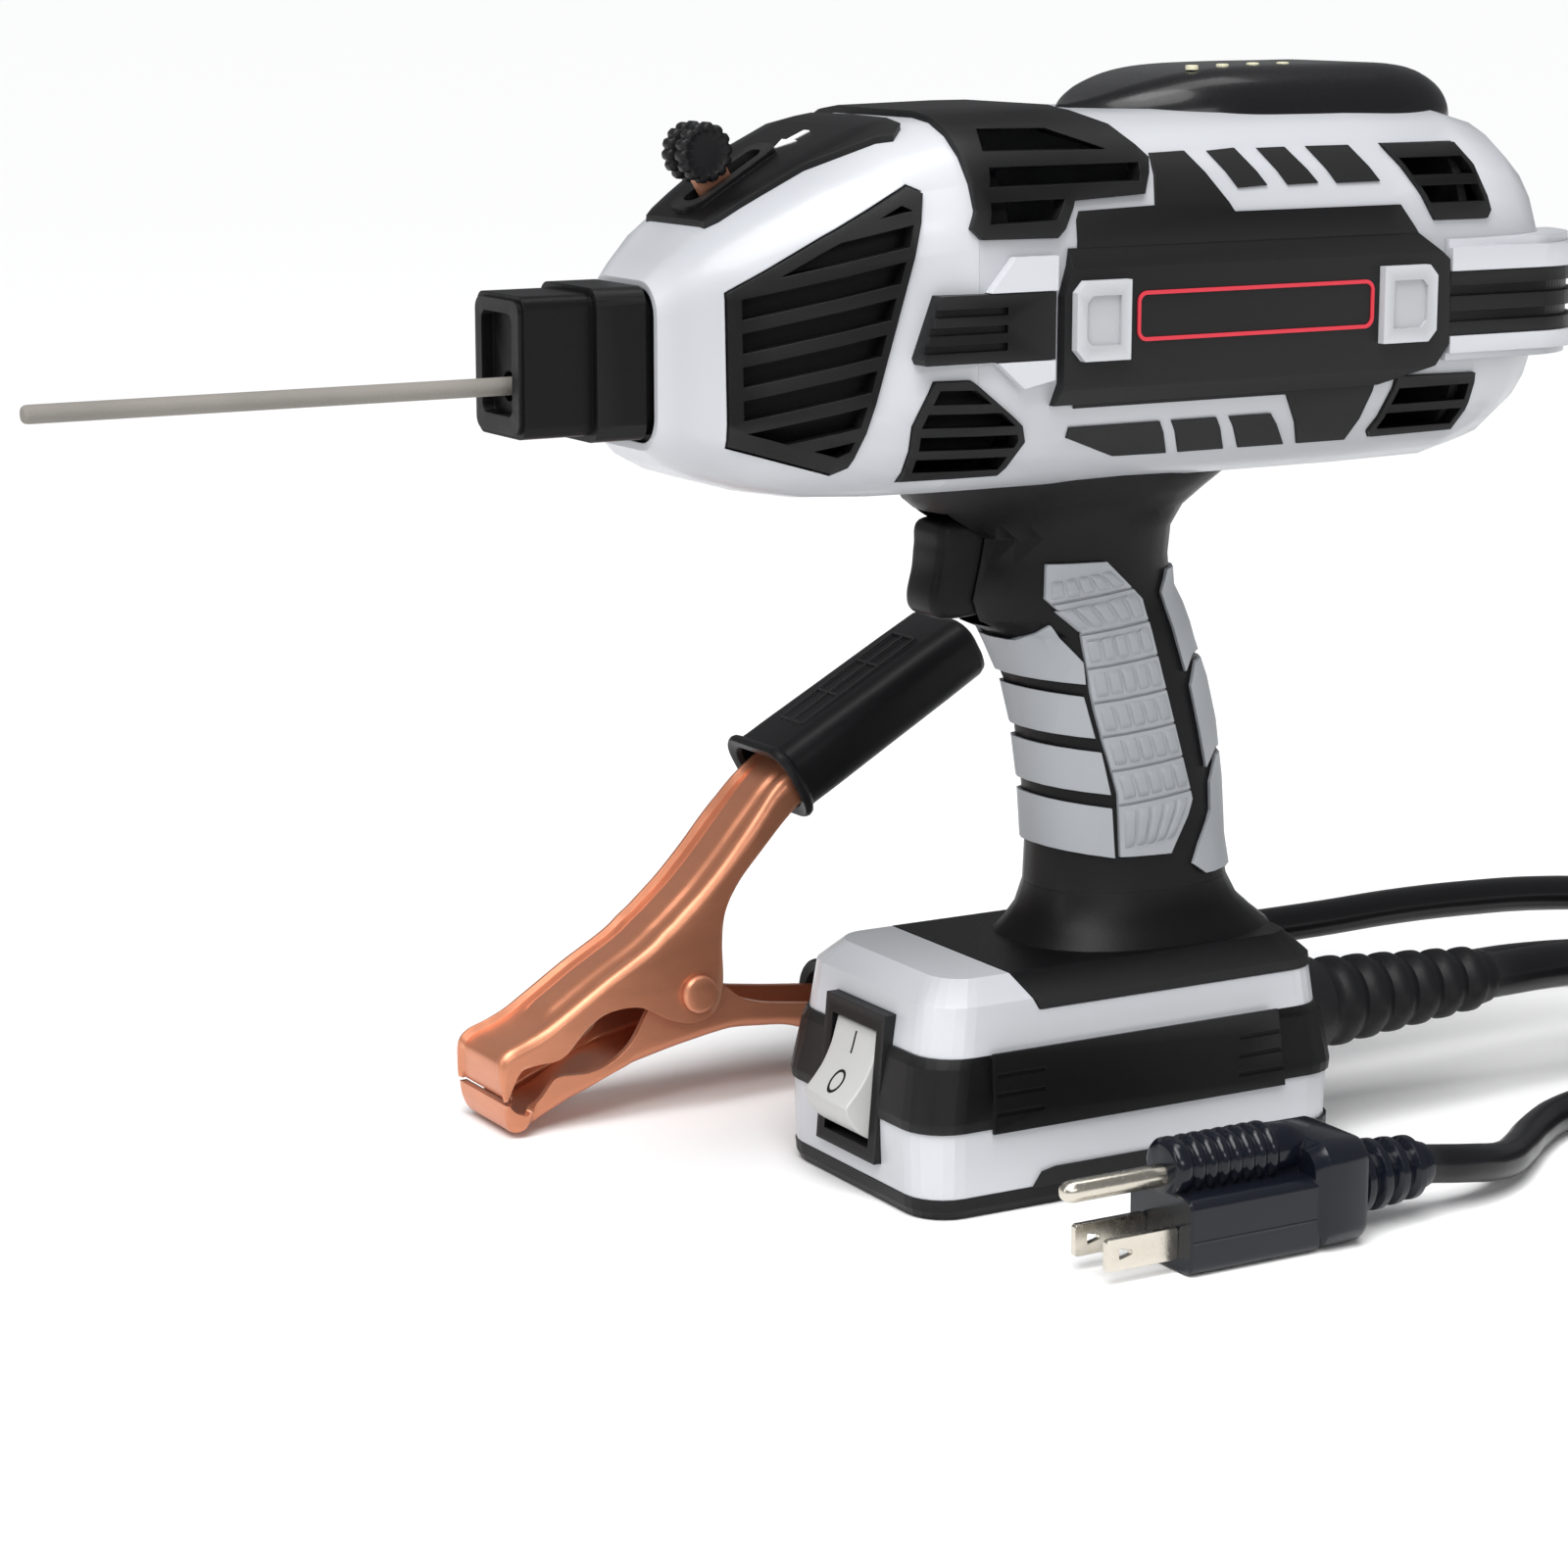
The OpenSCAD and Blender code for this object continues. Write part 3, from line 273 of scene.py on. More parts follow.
def spline(points, steps=8, closed=False):
    """A smooth line through the points."""
    pts = [Vector(p) for p in points]
    n = len(pts)
    out = []
    for i in range(n if closed else n - 1):
        if closed:
            p0, p1, p2, p3 = pts[i - 1], pts[i], pts[(i + 1) % n], pts[(i + 2) % n]
        else:
            p1, p2 = pts[i], pts[i + 1]
            p0 = pts[i - 1] if i else p1 * 2 - p2
            p3 = pts[i + 2] if i + 2 < n else p2 * 2 - p1
        for k in range(steps):
            t = k / steps
            out.append(0.5 * (2 * p1 + (p2 - p0) * t + (2 * p0 - 5 * p1 + 4 * p2 - p3) * t * t
                              + (3 * p1 - p0 - 3 * p2 + p3) * t ** 3))
    if not closed:
        out.append(pts[-1])
    return out


class Solid:
    """Collects faces in millimetres and turns them into a mesh in metres."""

    def __init__(self):
        self.verts, self.faces = [], []

    def loft(self, rings, caps=True, closed=True):
        """A skin over rings of points; closed rings may be capped at both ends."""
        n, start = len(rings[0]), len(self.verts)
        for ring in rings:
            self.verts.extend(Vector(p) * MM for p in ring)
        for k in range(len(rings) - 1):
            for i in range(n if closed else n - 1):
                j = (i + 1) % n
                a, b = start + k * n, start + (k + 1) * n
                self.faces.append((a + i, a + j, b + j, b + i))
        if caps:
            self.faces.append(tuple(start + i for i in reversed(range(n))))
            end = start + (len(rings) - 1) * n
            self.faces.append(tuple(end + i for i in range(n)))

    def prism(self, outline, lift):
        """outline is a closed list of 3-D points, lift the vector to its other end."""
        lift = Vector(lift)
        self.loft([[Vector(p) for p in outline], [Vector(p) + lift for p in outline]])

    def mesh(self, name):
        mesh = bpy.data.meshes.new(name)
        mesh.from_pydata(self.verts, [], self.faces)
        bm = bmesh.new()
        bm.from_mesh(mesh)
        bmesh.ops.recalc_face_normals(bm, faces=bm.faces)
        bm.to_mesh(mesh)
        bm.free()
        return mesh


def round_box(wide, tall, radius, steps=6):
    """A rectangle with round corners about 0, as 2-D points."""
    out = []
    for corner, (sx, sy) in enumerate(((1, 1), (-1, 1), (-1, -1), (1, -1))):
        for k in range(steps + 1):
            a = math.pi / 2 * (corner + k / steps)
            out.append((sx * (wide / 2 - radius) + radius * math.cos(a),
                        sy * (tall / 2 - radius) + radius * math.sin(a)))
    return out


def turned(solid, place, axis, profile, steps=48, rim=None):
    """A turned shape: profile is (distance along the axis, radius); rim(angle) scales the radius."""
    axis = Vector(axis).normalized()
    side = axis.orthogonal().normalized()
    up = axis.cross(side)
    rings = []
    for s, r in profile:
        ring = []
        for k in range(steps):
            a = TAU * k / steps
            q = r * (rim(a, r) if rim else 1)
            ring.append(Vector(place) + axis * s + side * q * math.cos(a) + up * q * math.sin(a))
        rings.append(ring)
    solid.loft(rings)


# ---------- leads ----------

MAINS_OUT = [(64, 12, 47), (90, 12, 47), (116, 13, 47), (142, 14, 46), (168, 15, 44), (192, 14, 41),
             (214, 10, 37), (234, 1, 33), (250, -14, 29), (262, -34, 26), (270, -58, 24), (272, -84, 24)]
MAINS_PLUG = [(177, -88, 5), (174, -72.5, 5), (165.5, -59.5, 5), (152.5, -51, 5), (137, -48, 5),
              (119, -52, 5), (103, -61, 5), (90, -71, 5.5), (77, -80, 7), (62, -85, 10), (48, -85, 12)]
EARTH_OUT = [(124, -15, 33), (150, -15, 33), (176, -11, 30), (200, -4, 25), (224, 4, 21),
             (246, 16, 19), (262, 34, 19)]
EARTH_CLAMP = [(257, 20, 6.5), (250, 42, 6.5), (234, 60, 6.5), (210, 69, 6.5), (182, 70, 6.5),
               (154, 72, 6.5), (128, 79, 6.5), (102, 87, 6.8), (76, 91, 7.9), (50.9, 91, 10.8)]
IN_SLEEVE = [(28, 91, 13.4), (5, 91, 16.1)]


def smooth_step(t):
    """0 below 0, 1 above 1, with a soft change between."""
    t = min(1.0, max(0.0, t))
    return t * t * (3 - 2 * t)


def coil_turns(centre, start, turns, layers, steps=16):
    """Clockwise turns from above; layers gives (turn at which it begins, radius, height) in order."""
    points = []
    count = round(turns * steps)
    for i in range(1, count):
        u = i * turns / count
        radius, height = layers[0][1:]
        for begins, r, z in layers[1:]:
            share = smooth_step((u - begins + 0.15) / 0.3)
            radius += (r - radius) * share
            height += (z - height) * share
        a = start - TAU * u
        points.append((centre[0] + radius * math.cos(a), centre[1] + radius * math.sin(a), height))
    return points


def lead(name, points, diameter):
    """A lead as a smooth tube through the points."""
    data = bpy.data.curves.new(name, "CURVE")
    data.dimensions = "3D"
    data.bevel_depth = diameter / 2 * MM
    data.bevel_resolution = 5
    data.resolution_u = 6
    data.use_fill_caps = True
    line = data.splines.new("BEZIER")
    line.bezier_points.add(len(points) - 1)
    for knot, p in zip(line.bezier_points, points):
        knot.co = Vector(p) * MM
        knot.handle_left_type = knot.handle_right_type = "AUTO"
    data.materials.append(MAT["cable_gloss"])
    obj = put(name, data)
    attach(obj, "gun")
    return obj


def make_leads():
    """Each lead runs from the gun through its coil to its plug or clamp."""
    turns = coil_turns((225, -85), math.radians(1), 5.5,
                       [(0, 47, 23.75), (1, 42.75, 14.25), (2, 52.25, 14.25), (3, 52.25, 4.75),
                        (4, 42.75, 4.75), (5.3, 48, 4.9)])
    mains = lead("mains_lead", MAINS_OUT + turns + MAINS_PLUG, 9.5)
    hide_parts("mains_lead_out", "mains_coil", "mains_lead_plug")
    turns = coil_turns((328, 26), math.radians(173.3), 2.968,
                       [(0, 66, 18.75), (0.2, 60, 18.75), (1, 58.75, 6.25), (2, 71.25, 6.25)])
    earth = lead("earth_lead", EARTH_OUT + turns + EARTH_CLAMP + IN_SLEEVE, 12.5)
    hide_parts("earth_lead_out", "earth_coil", "earth_lead_clamp")
    return mains, earth


# ---------- smooth shading of the moulded skins ----------

BARREL_WIDTH, BARREL_LOW, BARREL_HIGH = 92, 173.8, 261.5
# x, side inset, rise of the bottom, drop of the top, corner radius
BARREL = [(-123, 29.5, 13.2, 36, 8), (-119, 25.5, 9.7, 32, 11), (-112, 20.5, 6.2, 26, 14),
          (-102, 15, 3.2, 19.4, 18), (-88, 8.5, 1, 11, 22), (-72, 3.2, 0.2, 4, 26),
          (-56, 0.5, 0, 0.6, 28), (-30, 0, 0, 0, 28), (60, 0, 0, 0, 28), (88, 0.5, 0.4, 0.5, 28),
          (102, 3, 3.2, 4, 27), (112, 7.5, 8.2, 10.5, 25), (119, 14, 15.2, 18.5, 21),
          (122, 19, 20.2, 24.5, 17)]
GRIP_POWER = 2 / 0.85
# z, middle x, half depth, half width
GRIP = [(56.5, 20.5, 37, 26.4), (60, 20, 33, 24), (64, 19, 29.5, 21), (70, 18.3, 27, 19),
        (80, 17.5, 26, 18), (95, 16.3, 26, 18), (110, 14, 26, 18), (121, 11, 26, 18),
        (131, 6.5, 26.5, 18), (135.5, 4.5, 27, 18), (140, -1.5, 31.5, 18), (145, -4, 31, 18),
        (153, -3.5, 29.5, 18), (160, -2.5, 29, 18.5), (165, -5, 35, 20), (169, -5, 40, 23),
        (174, -3, 44.5, 27), (179, -3, 46, 29)]


def eased(table, window):
    """Each column of a station table as a function whose corners are rounded off."""
    table = np.array(table, float)
    margin, pitch = 20, 0.25
    grid = np.arange(table[0, 0] - margin, table[-1, 0] + margin, pitch)
    width = int(window / pitch) | 1
    kernel = np.ones(width) / width
    columns = []
    for c in range(1, table.shape[1]):
        values = np.interp(grid, table[:, 0], table[:, c])
        first = (table[1, c] - table[0, c]) / (table[1, 0] - table[0, 0])
        values += np.minimum(grid - table[0, 0], 0) * first
        for _ in range(2):
            values = np.convolve(np.pad(values, width // 2, mode="edge"), kernel, mode="valid")
        columns.append(values)
    return lambda t: [np.interp(t, grid, values) for values in columns]


barrel_at = eased(BARREL, 7)
grip_at = eased(GRIP, 4)


def barrel_field(p):
    """Distance from the barrel's skin."""
    inset, rise, drop, r = barrel_at(p[:, 0])
    half = BARREL_WIDTH / 2 - inset
    low, high = BARREL_LOW + rise, BARREL_HIGH - drop
    qy = np.abs(p[:, 1]) - (half - r)
    qz = np.abs(p[:, 2] - (low + high) / 2) - ((high - low) / 2 - r)
    outside = np.hypot(np.maximum(qy, 0), np.maximum(qz, 0))
    return outside + np.minimum(np.maximum(qy, qz), 0) - r


def grip_field(p):
    """Rises outwards, level on the grip's skin."""
    middle, deep, wide = grip_at(p[:, 2])
    a = np.abs((p[:, 0] - middle) / deep) ** GRIP_POWER + np.abs(p[:, 1] / wide) ** GRIP_POWER
    return a ** (1 / GRIP_POWER) * 20


def follow(obj, field, limit):
    """Shades the faces that lie along a skin with the skin's own normals."""
    mesh = obj.data
    count = len(mesh.loops)
    verts = np.empty(len(mesh.vertices) * 3)
    mesh.vertices.foreach_get("co", verts)
    verts = verts.reshape(-1, 3) / MM
    step = 0.4
    slope = np.stack([field(verts + d) - field(verts - d) for d in np.eye(3) * step], axis=1)
    slope /= np.maximum(np.linalg.norm(slope, axis=1, keepdims=True), 1e-9)
    corner = np.empty(count * 3)
    mesh.corner_normals.foreach_get("vector", corner)
    corner = corner.reshape(-1, 3)
    at = np.empty(count, int)
    mesh.loops.foreach_get("vertex_index", at)
    face_normals = np.empty(len(mesh.polygons) * 3)
    mesh.polygons.foreach_get("normal", face_normals)
    sizes = np.empty(len(mesh.polygons), int)
    mesh.polygons.foreach_get("loop_total", sizes)
    own = np.repeat(face_normals.reshape(-1, 3), sizes, axis=0)
    want = slope[at]
    lean = np.sum(own * want, axis=1)
    along = np.abs(lean) > math.cos(math.radians(limit))
    corner[along] = want[along] * np.sign(lean[along])[:, None]
    mesh.normals_split_custom_set(corner.tolist())


BARREL_SKINS = ["front_shell", "rear_shell", "saddle_band", "top_plate", "front_vent_left",
                "front_vent_right", "lower_vents", "panel_left", "panel_right", "rear_vents",
                "tail_guards", "tail_ledges"]
GRIP_SKINS = ["grip", "base_cover", "side_pad_left", "side_pad_right", "finger_pads", "rear_pads"]


def dress_cad():
    """Materials and shading for the CAD nodes that are shown as they are."""
    for row in frame["record"]["subparts"]:
        node = frame["nodes"][row["node"]]
        if node.hide_render:
            continue
        node.data.materials.clear()
        node.data.materials.append(MAT[row["material_slot"]])
        soften(node.data, 32)
        if row["node"] in BARREL_SKINS:
            follow(node, barrel_field, 16)
        elif row["node"] in GRIP_SKINS:
            follow(node, grip_field, 20)
        else:
            weigh = node.modifiers.new("weigh", "WEIGHTED_NORMAL")
            weigh.keep_sharp = True


# ---------- vent shade sheets, pad ribs and coil straps -----

def make_vent_shade_sheets():
    """Dark sheets behind the front and lower vents: painted shade that hides the inside of the barrel.
    """
    depth, top_angle, foot_angle, steps = 6.5, 62, -78, 9
    solid = Solid()
    for side in (-1, 1):
        rings = []
        for x in range(-112, -40, 4):
            inset, rise, drop, r = [float(v[0]) for v in barrel_at(np.array([float(x)]))]
            half = BARREL_WIDTH / 2 - inset - depth
            low, high = BARREL_LOW + rise + depth, BARREL_HIGH - drop - depth
            r = max(3, r - depth)
            ring = []
            for k in range(steps + 1):
                a = math.radians(top_angle - top_angle * k / steps)
                ring.append((x, side * (half - r + r * math.cos(a)), high - r + r * math.sin(a)))
            for k in range(steps + 1):
                a = math.radians(foot_angle * k / steps)
                ring.append((x, side * (half - r + r * math.cos(a)), low + r + r * math.sin(a)))
            rings.append(ring)
        solid.loft(rings, caps=False, closed=False)
    obj = piece("vent_shade_sheets", solid, "inner_plastic", "gun", angle=60)
    thicken(obj, 0.6)


SIDE_PAD = [(-18, 154), (-1.5, 153.6), (9.8, 143.6), (25.8, 92), (24.4, 88), (19.3, 79), (5, 79.3),
            (4, 95), (-3, 117), (-8, 136.6), (-18.3, 145.6)]


def pad_span(z):
    """Left and right edge of the side pad at height z."""
    hits = []
    for (x0, z0), (x1, z1) in zip(SIDE_PAD, SIDE_PAD[1:] + SIDE_PAD[:1]):
        if (z0 - z) * (z1 - z) < 0:
            hits.append(x0 + (x1 - x0) * (z - z0) / (z1 - z0))
    return min(hits), max(hits)


def make_pad_ribs():
    """Soft ribs in rows on both side pads: each a small cushion on the pad's skin."""
    rows, columns, pitch = 8, 5, 9
    steps_z, steps_x = 6, 8
    margin, skin, slant = 0.9, 1.1, 0.1
    sunk, puffed = 0.7, 1.25
    for side, name in ((-1, "left"), (1, "right")):
        solid = Solid()
        for row in range(rows):
            top = 155 - pitch * row if row else 152.6
            foot = 80.4 if row == rows - 1 else 147.2 - pitch * row
            for column in range(columns):
                rings = []
                for v in range(steps_z + 1):
                    share_z = v / steps_z
                    level = foot + (top - 0.4 - foot) * share_z
                    left, right = pad_span(min(153.4, max(79.6, level)))
                    left, right = left + margin, right - margin
                    cell = (right - left) / columns
                    across = []
                    for u in range(steps_x + 1):
                        x = left + cell * (column + 0.04 + 0.92 * u / steps_x)
                        z = min(152.9, max(79.9, level + slant * (x - 4)))
                        mid, deep, wide = [float(q[0]) for q in grip_at(np.array([z]))]
                        deep, wide = deep + skin, wide + skin
                        inside = max(0, 1 - abs((x - mid) / deep) ** GRIP_POWER)
                        y = wide * inside ** (1 / GRIP_POWER)
                        puff = (1 - (2 * u / steps_x - 1) ** 8) * (1 - (2 * share_z - 1) ** 10)
                        across.append((x, side * (y - sunk + puffed * puff), z))
                    rings.append(across)
                solid.loft(rings, caps=False, closed=False)
        piece("pad_ribs_" + name, solid, "pad_rubber", "gun", angle=80)


def make_ties(name, centre, radius, wide, tall, angles):
    """Hook-and-loop straps around a coil; radius is to the middle of its turns."""
    half, thick, corner = 6.5, 0.9, 8.5
    solid = Solid()
    for degrees in angles:
        a = math.radians(degrees)
        out = Vector((math.cos(a), math.sin(a), 0))
        ahead = Vector((-math.sin(a), math.cos(a), 0))
        middle = Vector((*centre, tall / 2 + 0.1)) + out * radius
        rings = []
        for shift, thin in ((-half, 0), (half, 0), (half, thick), (-half, thick), (-half, 0)):
            outline = round_box(wide - 2 * thin, tall - 2 * thin, corner - thin, 8)
            rings.append([middle + out * u + Vector((0, 0, v)) + ahead * shift for u, v in outline])
        solid.loft(rings, caps=False)
        flap = [(-half, -0.1), (half, -0.1), (half, thick), (-half, thick)]
        solid.loft([[middle + out * u + ahead * w + Vector((0, 0, tall / 2 + v - 0.2)) for w, v in flap]
                    for u in (-wide * 0.22, wide * 0.24)])
    piece(name, solid, "cable_rubber", "gun", angle=40)


# ---------- earth clamp ----------

CLAMP_Y = 91
PIVOT = (-62.4, 31.6)
# Pairs along the jaws: a point on the sheet's back and the point across from it, as x, z
UPPER_JAW = [((-119.0, 10.2), (-118.0, 10.2)), ((-119.6, 15), (-116.9, 12.6)),
             ((-119.7, 20.4), (-115.6, 15.2)), ((-117.2, 23.2), (-113.6, 17.9)),
             ((-112, 25.2), (-109.5, 18.7)), ((-106.5, 27.6), (-104.5, 18.9)),
             ((-100.5, 31.2), (-100.9, 20.4)), ((-94.5, 35), (-95.4, 26.0)),
             ((-88.5, 38.7), (-90.5, 29.2)), ((-83, 41.8), (-85.4, 30.3)),
             ((-78.5, 44.4), (-80, 30.1)), ((-75.5, 46.4), (-75.8, 28.2)),
             ((-72.5, 48.9), (-70.5, 25.4)), ((-69.7, 51), (-64, 23.8)),
             ((-66.8, 53.5), (-57.6, 26.0)), ((-64, 55.9), (-55.1, 33)),
             ((-61, 58.6), (-55.3, 44.5)), ((-57, 62.6), (-54.3, 52.5)),
             ((-53, 66.9), (-50.7, 59.4)), ((-48.6, 72), (-45.6, 65.4)),
             ((-43.4, 77.8), (-40, 71)), ((-38.2, 83.5), (-34.6, 75.8)),
             ((-32, 88.2), (-29, 80.3)), ((-20.4, 96), (-16, 88.8))]
LOWER_JAW = [((-118.6, 9.2), (-117.6, 9.1)), ((-118.3, 5.5), (-115.8, 7)),
             ((-116.8, 1.9), (-113.6, 6)), ((-114.2, 0.9), (-111.8, 5.8)),
             ((-109, 2.4), (-107.6, 8.6)), ((-103.5, 4.8), (-103, 13.6)),
             ((-98, 7.2), (-98, 13.9)), ((-92.5, 9.6), (-93, 13.8)),
             ((-86.8, 12), (-87.2, 15.5)), ((-81, 13.7), (-81, 20)), ((-75.5, 15), (-76, 28.2)),
             ((-70, 16.2), (-71.8, 35.4)), ((-66, 17), (-66, 39.8)), ((-61, 17.9), (-59.5, 37.8)),
             ((-55.5, 18.8), (-53.8, 32.6)), ((-49.7, 19.4), (-48.5, 28.2)), ((-42, 18.9), (-42, 25.9)),
             ((-34, 18.1), (-34, 24.6)), ((-24, 15.5), (-24, 23.3)), ((-1, 13), (-1, 20.7))]


def pressed_jaw(name, pairs, half, body, stands_for, ridge=None):
    """A channel pressed from sheet; ridge is (first share, last share, half width, height)."""
    backs = spline([(x, z, 0) for (x, z), _ in pairs], 7)
    fronts = spline([(x, z, 0) for _, (x, z) in pairs], 7)
    corner, sheet_thickness = 3.2, 1.9
    wall_steps, bend_steps, back_steps = 8, 6, 25
    first, last, ridge_half, height = ridge or (0, 0, 0, 0)
    rings = []
    count = len(backs)
    for k, (back, front) in enumerate(zip(backs, fronts)):
        share = k / (count - 1)
        wide = half(back[0])
        down = (front - back).normalized()
        r = min(corner, (front - back).length * 0.45)
        line = [(-wide, front.lerp(back + down * r, i / wall_steps)) for i in range(wall_steps + 1)]
        for i in range(1, bend_steps + 1):
            a = math.pi / 2 * i / bend_steps
            line.append((-wide + r * (1 - math.cos(a)), back + down * (r - r * math.sin(a))))
        side = len(line)
        for i in range(1, back_steps):
            y = (-1 + 2 * i / back_steps) * (wide - r)
            ends = smooth_step((share - first) / 0.03) * smooth_step((last - share) / 0.03)
            lift = height * ends * smooth_step((ridge_half + 1.6 - abs(y)) / 3.2)
            line.append((y, back - down * (lift - height)))
        line += [(-y, p) for y, p in reversed(line[:side])]
        rings.append([(p[0], CLAMP_Y + y, p[1]) for y, p in line])
    solid = Solid()
    solid.loft(rings, caps=False, closed=False)
    obj = piece(name, solid, "copper", body, stands_for, angle=50)
    thicken(obj, sheet_thickness)
    round_edges(obj, 0.35, 2, 50)


def make_clamp():
    """Both jaws, which narrow where they enter their sleeves or mouth, and the rivet between them."""
    pressed_jaw("jaw_upper", UPPER_JAW, lambda x: 14 - 1.4 * smooth_step((x + 48) / 12),
                "clamp_lever", ["clamp_jaw_upper"], (0.23, 1.2, 5.2, 1.5))
    pressed_jaw("jaw_lower", LOWER_JAW, lambda x: 14 - 2.35 * smooth_step((x + 113.5) / 3),
                "gun", ["clamp_jaw_lower"])
    rivet = Solid()
    head = [(-16.3, 1), (-16.3, 3.4), (-16.0, 4.4), (-15.3, 5), (-14.2, 5)]
    profile = head + [(-14.1, 2.9), (14.1, 2.9)] + [(-s, r) for s, r in reversed(head)]
    turned(rivet, (PIVOT[0], CLAMP_Y, PIVOT[1]), (0, 1, 0), profile)
    piece("rivet", rivet, "copper", "gun", ["clamp_pin"])


def make_sleeve(name, mouth, turn, long, body, stands_for, raised):
    """A vinyl grip: a flat oval tube with a rolled lip; raised is (side, first, last) of its grid."""
    deep, wide = 18.8, 30.2
    a = math.radians(turn)
    along = Vector((math.sin(a), 0, math.cos(a)))
    flat = Vector((math.cos(a), 0, -math.sin(a)))
    origin = Vector((mouth[0], CLAMP_Y, mouth[1]))
    stations = [(2.2, -2.2), (0.6, -1.4), (0.2, -0.2), (0.0, 1.0), (0.5, 1.4), (1.3, 1.6),
                (2.2, 1.4), (2.9, 0.7), (3.4, 0.1), (5, 0), (12, 0), (30, -0.2), (52, -0.4),
                (long - 3, -0.6), (long - 1.2, -1.2), (long - 0.3, -2.6), (long, -4.6)]
    outline = round_box(deep, wide, 6.8, 10)
    rings = []
    for s, grow in stations:
        kx, ky = (deep + 2 * grow) / deep, (wide + 2 * grow) / wide
        rings.append([origin + along * s + flat * x * kx + Vector((0, y * ky, 0)) for x, y in outline])
    inner = [[origin + along * s + flat * x * 0.84 + Vector((0, y * 0.9, 0)) for x, y in outline]
             for s in (20, 1.6)]
    solid = Solid()
    solid.loft(inner + rings)
    side, first, last = raised
    half, cell, across = 5.6, 13, 0.35
    lines = [((s, -half), (s, half)) for s in (first, first + cell, last - cell, last)]
    lines += [((first, y), (last, y)) for y in (-half, half)]
    lines += [((first, 0), (last, 0))]
    for (s0, y0), (s1, y1) in lines:
        ds, dy = across * (s0 == s1), across * (y0 == y1)
        corners = ((s0 - ds, y0 - dy), (s1 + ds, y0 - dy), (s1 + ds, y1 + dy), (s0 - ds, y1 + dy))
        solid.prism([origin + along * s + flat * side * (deep / 2 - 0.6) + Vector((0, y, 0))
                     for s, y in corners], flat * side * 0.85)
    piece(name, solid, "sleeve_vinyl", body, stands_for, angle=40)


# ---------- knob, dome, electrode, arrow and trigger ----------

def make_knob():
    """Two fluted discs on the feed blade and the axle between them."""
    low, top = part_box("feed_knob")
    centre = Vector(((low[0] + top[0]) / 2 / MM, 0, (low[2] + top[2]) / 2 / MM))
    solid = Solid()

    def rim(a, r):
        """Fourteen flutes that fade out towards the knob's middle."""
        return 1 - 0.11 * (0.5 + 0.5 * math.cos(14 * a)) ** 3 * smooth_step((r - 4.6) / 1.5)

    for side in (-1, 1):
        profile = [(1.35, 1.9), (1.35, 6.2), (1.7, 6.75), (2.2, 6.95), (4.1, 6.95), (4.6, 6.75),
                   (4.9, 6.2), (4.95, 5.4), (4.7, 5.0), (4.65, 3)]
        turned(solid, centre, (0, side, 0), profile, 120, rim)
    turned(solid, centre, (0, 1, 0), [(-1.5, 1.95), (1.5, 1.95)], 32)
    piece("knob", solid, "knob_plastic", "knob", ["feed_knob"], angle=40)


def make_dome():
    """The gloss cover on the barrel and the four small lenses on its edge."""
    base = 257
    # x, half width, top, corner radius
    stations = [(-4, 4, 262.2, 3.5), (0, 10, 263.6, 6), (4, 14.4, 265.2, 8), (10, 19, 267.3, 10),
                (20, 24, 269.7, 11.5), (32, 26.5, 271, 12), (48, 27, 271.4, 12), (64, 27, 271.45, 12),
                (78, 26.9, 271.4, 12), (88, 25.2, 270.2, 11.5), (95, 22.2, 267.4, 10),
                (99.5, 18.2, 264.2, 7.5), (101.6, 14.6, 261.6, 4)]
    smooth = spline([(x, half, top) for x, half, top, _ in stations], 5)
    bends = spline([(x, r, 0) for x, _, _, r in stations], 5)
    rings = []
    for (x, half, top), (_, r, _) in zip(smooth, bends):
        tall = top - base
        r = min(r, half * 0.9, tall * 0.85)
        outline = round_box(2 * half, 2 * tall, r, 12)
        rings.append([(x, y, base + max(0, z)) for y, z in outline])
    solid = Solid()
    solid.loft(rings)
    piece("dome_cover", solid, "dome_gloss", "gun", ["dome"], angle=60)
    lenses = Solid()
    for k in range(4):
        x = 24 + 9 * k
        top = 270.35 + 0.35 * min(1, k / 2)
        turned(lenses, (x, -14, top), (0, 0, 1), [(0, 1.6), (0.95, 1.6), (1.1, 1.3), (1.15, 0.5)], 24)
    piece("indicator_lenses", lenses, "dome_gloss", "gun", angle=40,
          mat=MAT["lens"])


def make_electrode():
    """The rod: a coated length and a bare end held in the gun."""
    low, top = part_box("electrode")
    z = (low[2] + top[2]) / 2 / MM
    solid = Solid()
    profile = [(0, 0.9), (0.15, 1.6), (0.6, 1.95), (1.4, 2.08), (60, 2.09), (150, 2.09), (150.2, 1.3),
               (175.8, 1.3)]
    turned(solid, (low[0] / MM, 0, z), (1, 0, 0), profile, 40)
    piece("rod", solid, "electrode_coating", "gun", ["electrode"], angle=40)


def make_icon():
    """A small arrow on the plate in front of the slot, pointing to the nozzle."""
    slope, thick = math.radians(23.6), 0.3
    outline = [(-5, 0), (-0.5, 3.4), (-0.5, 1.3), (4.6, 1.3), (4.6, -1.3), (-0.5, -1.3), (-0.5, -3.4)]
    place = Vector((-80, -2, 255.62))
    solid = Solid()
    solid.prism([place + Vector((x * math.cos(slope), y, x * math.sin(slope))) for x, y in outline],
                (-thick * math.sin(slope), 0, thick * math.cos(slope)))
    piece("feed_mark", solid, "rocker_white", "gun", mat=MAT["mark_white"])


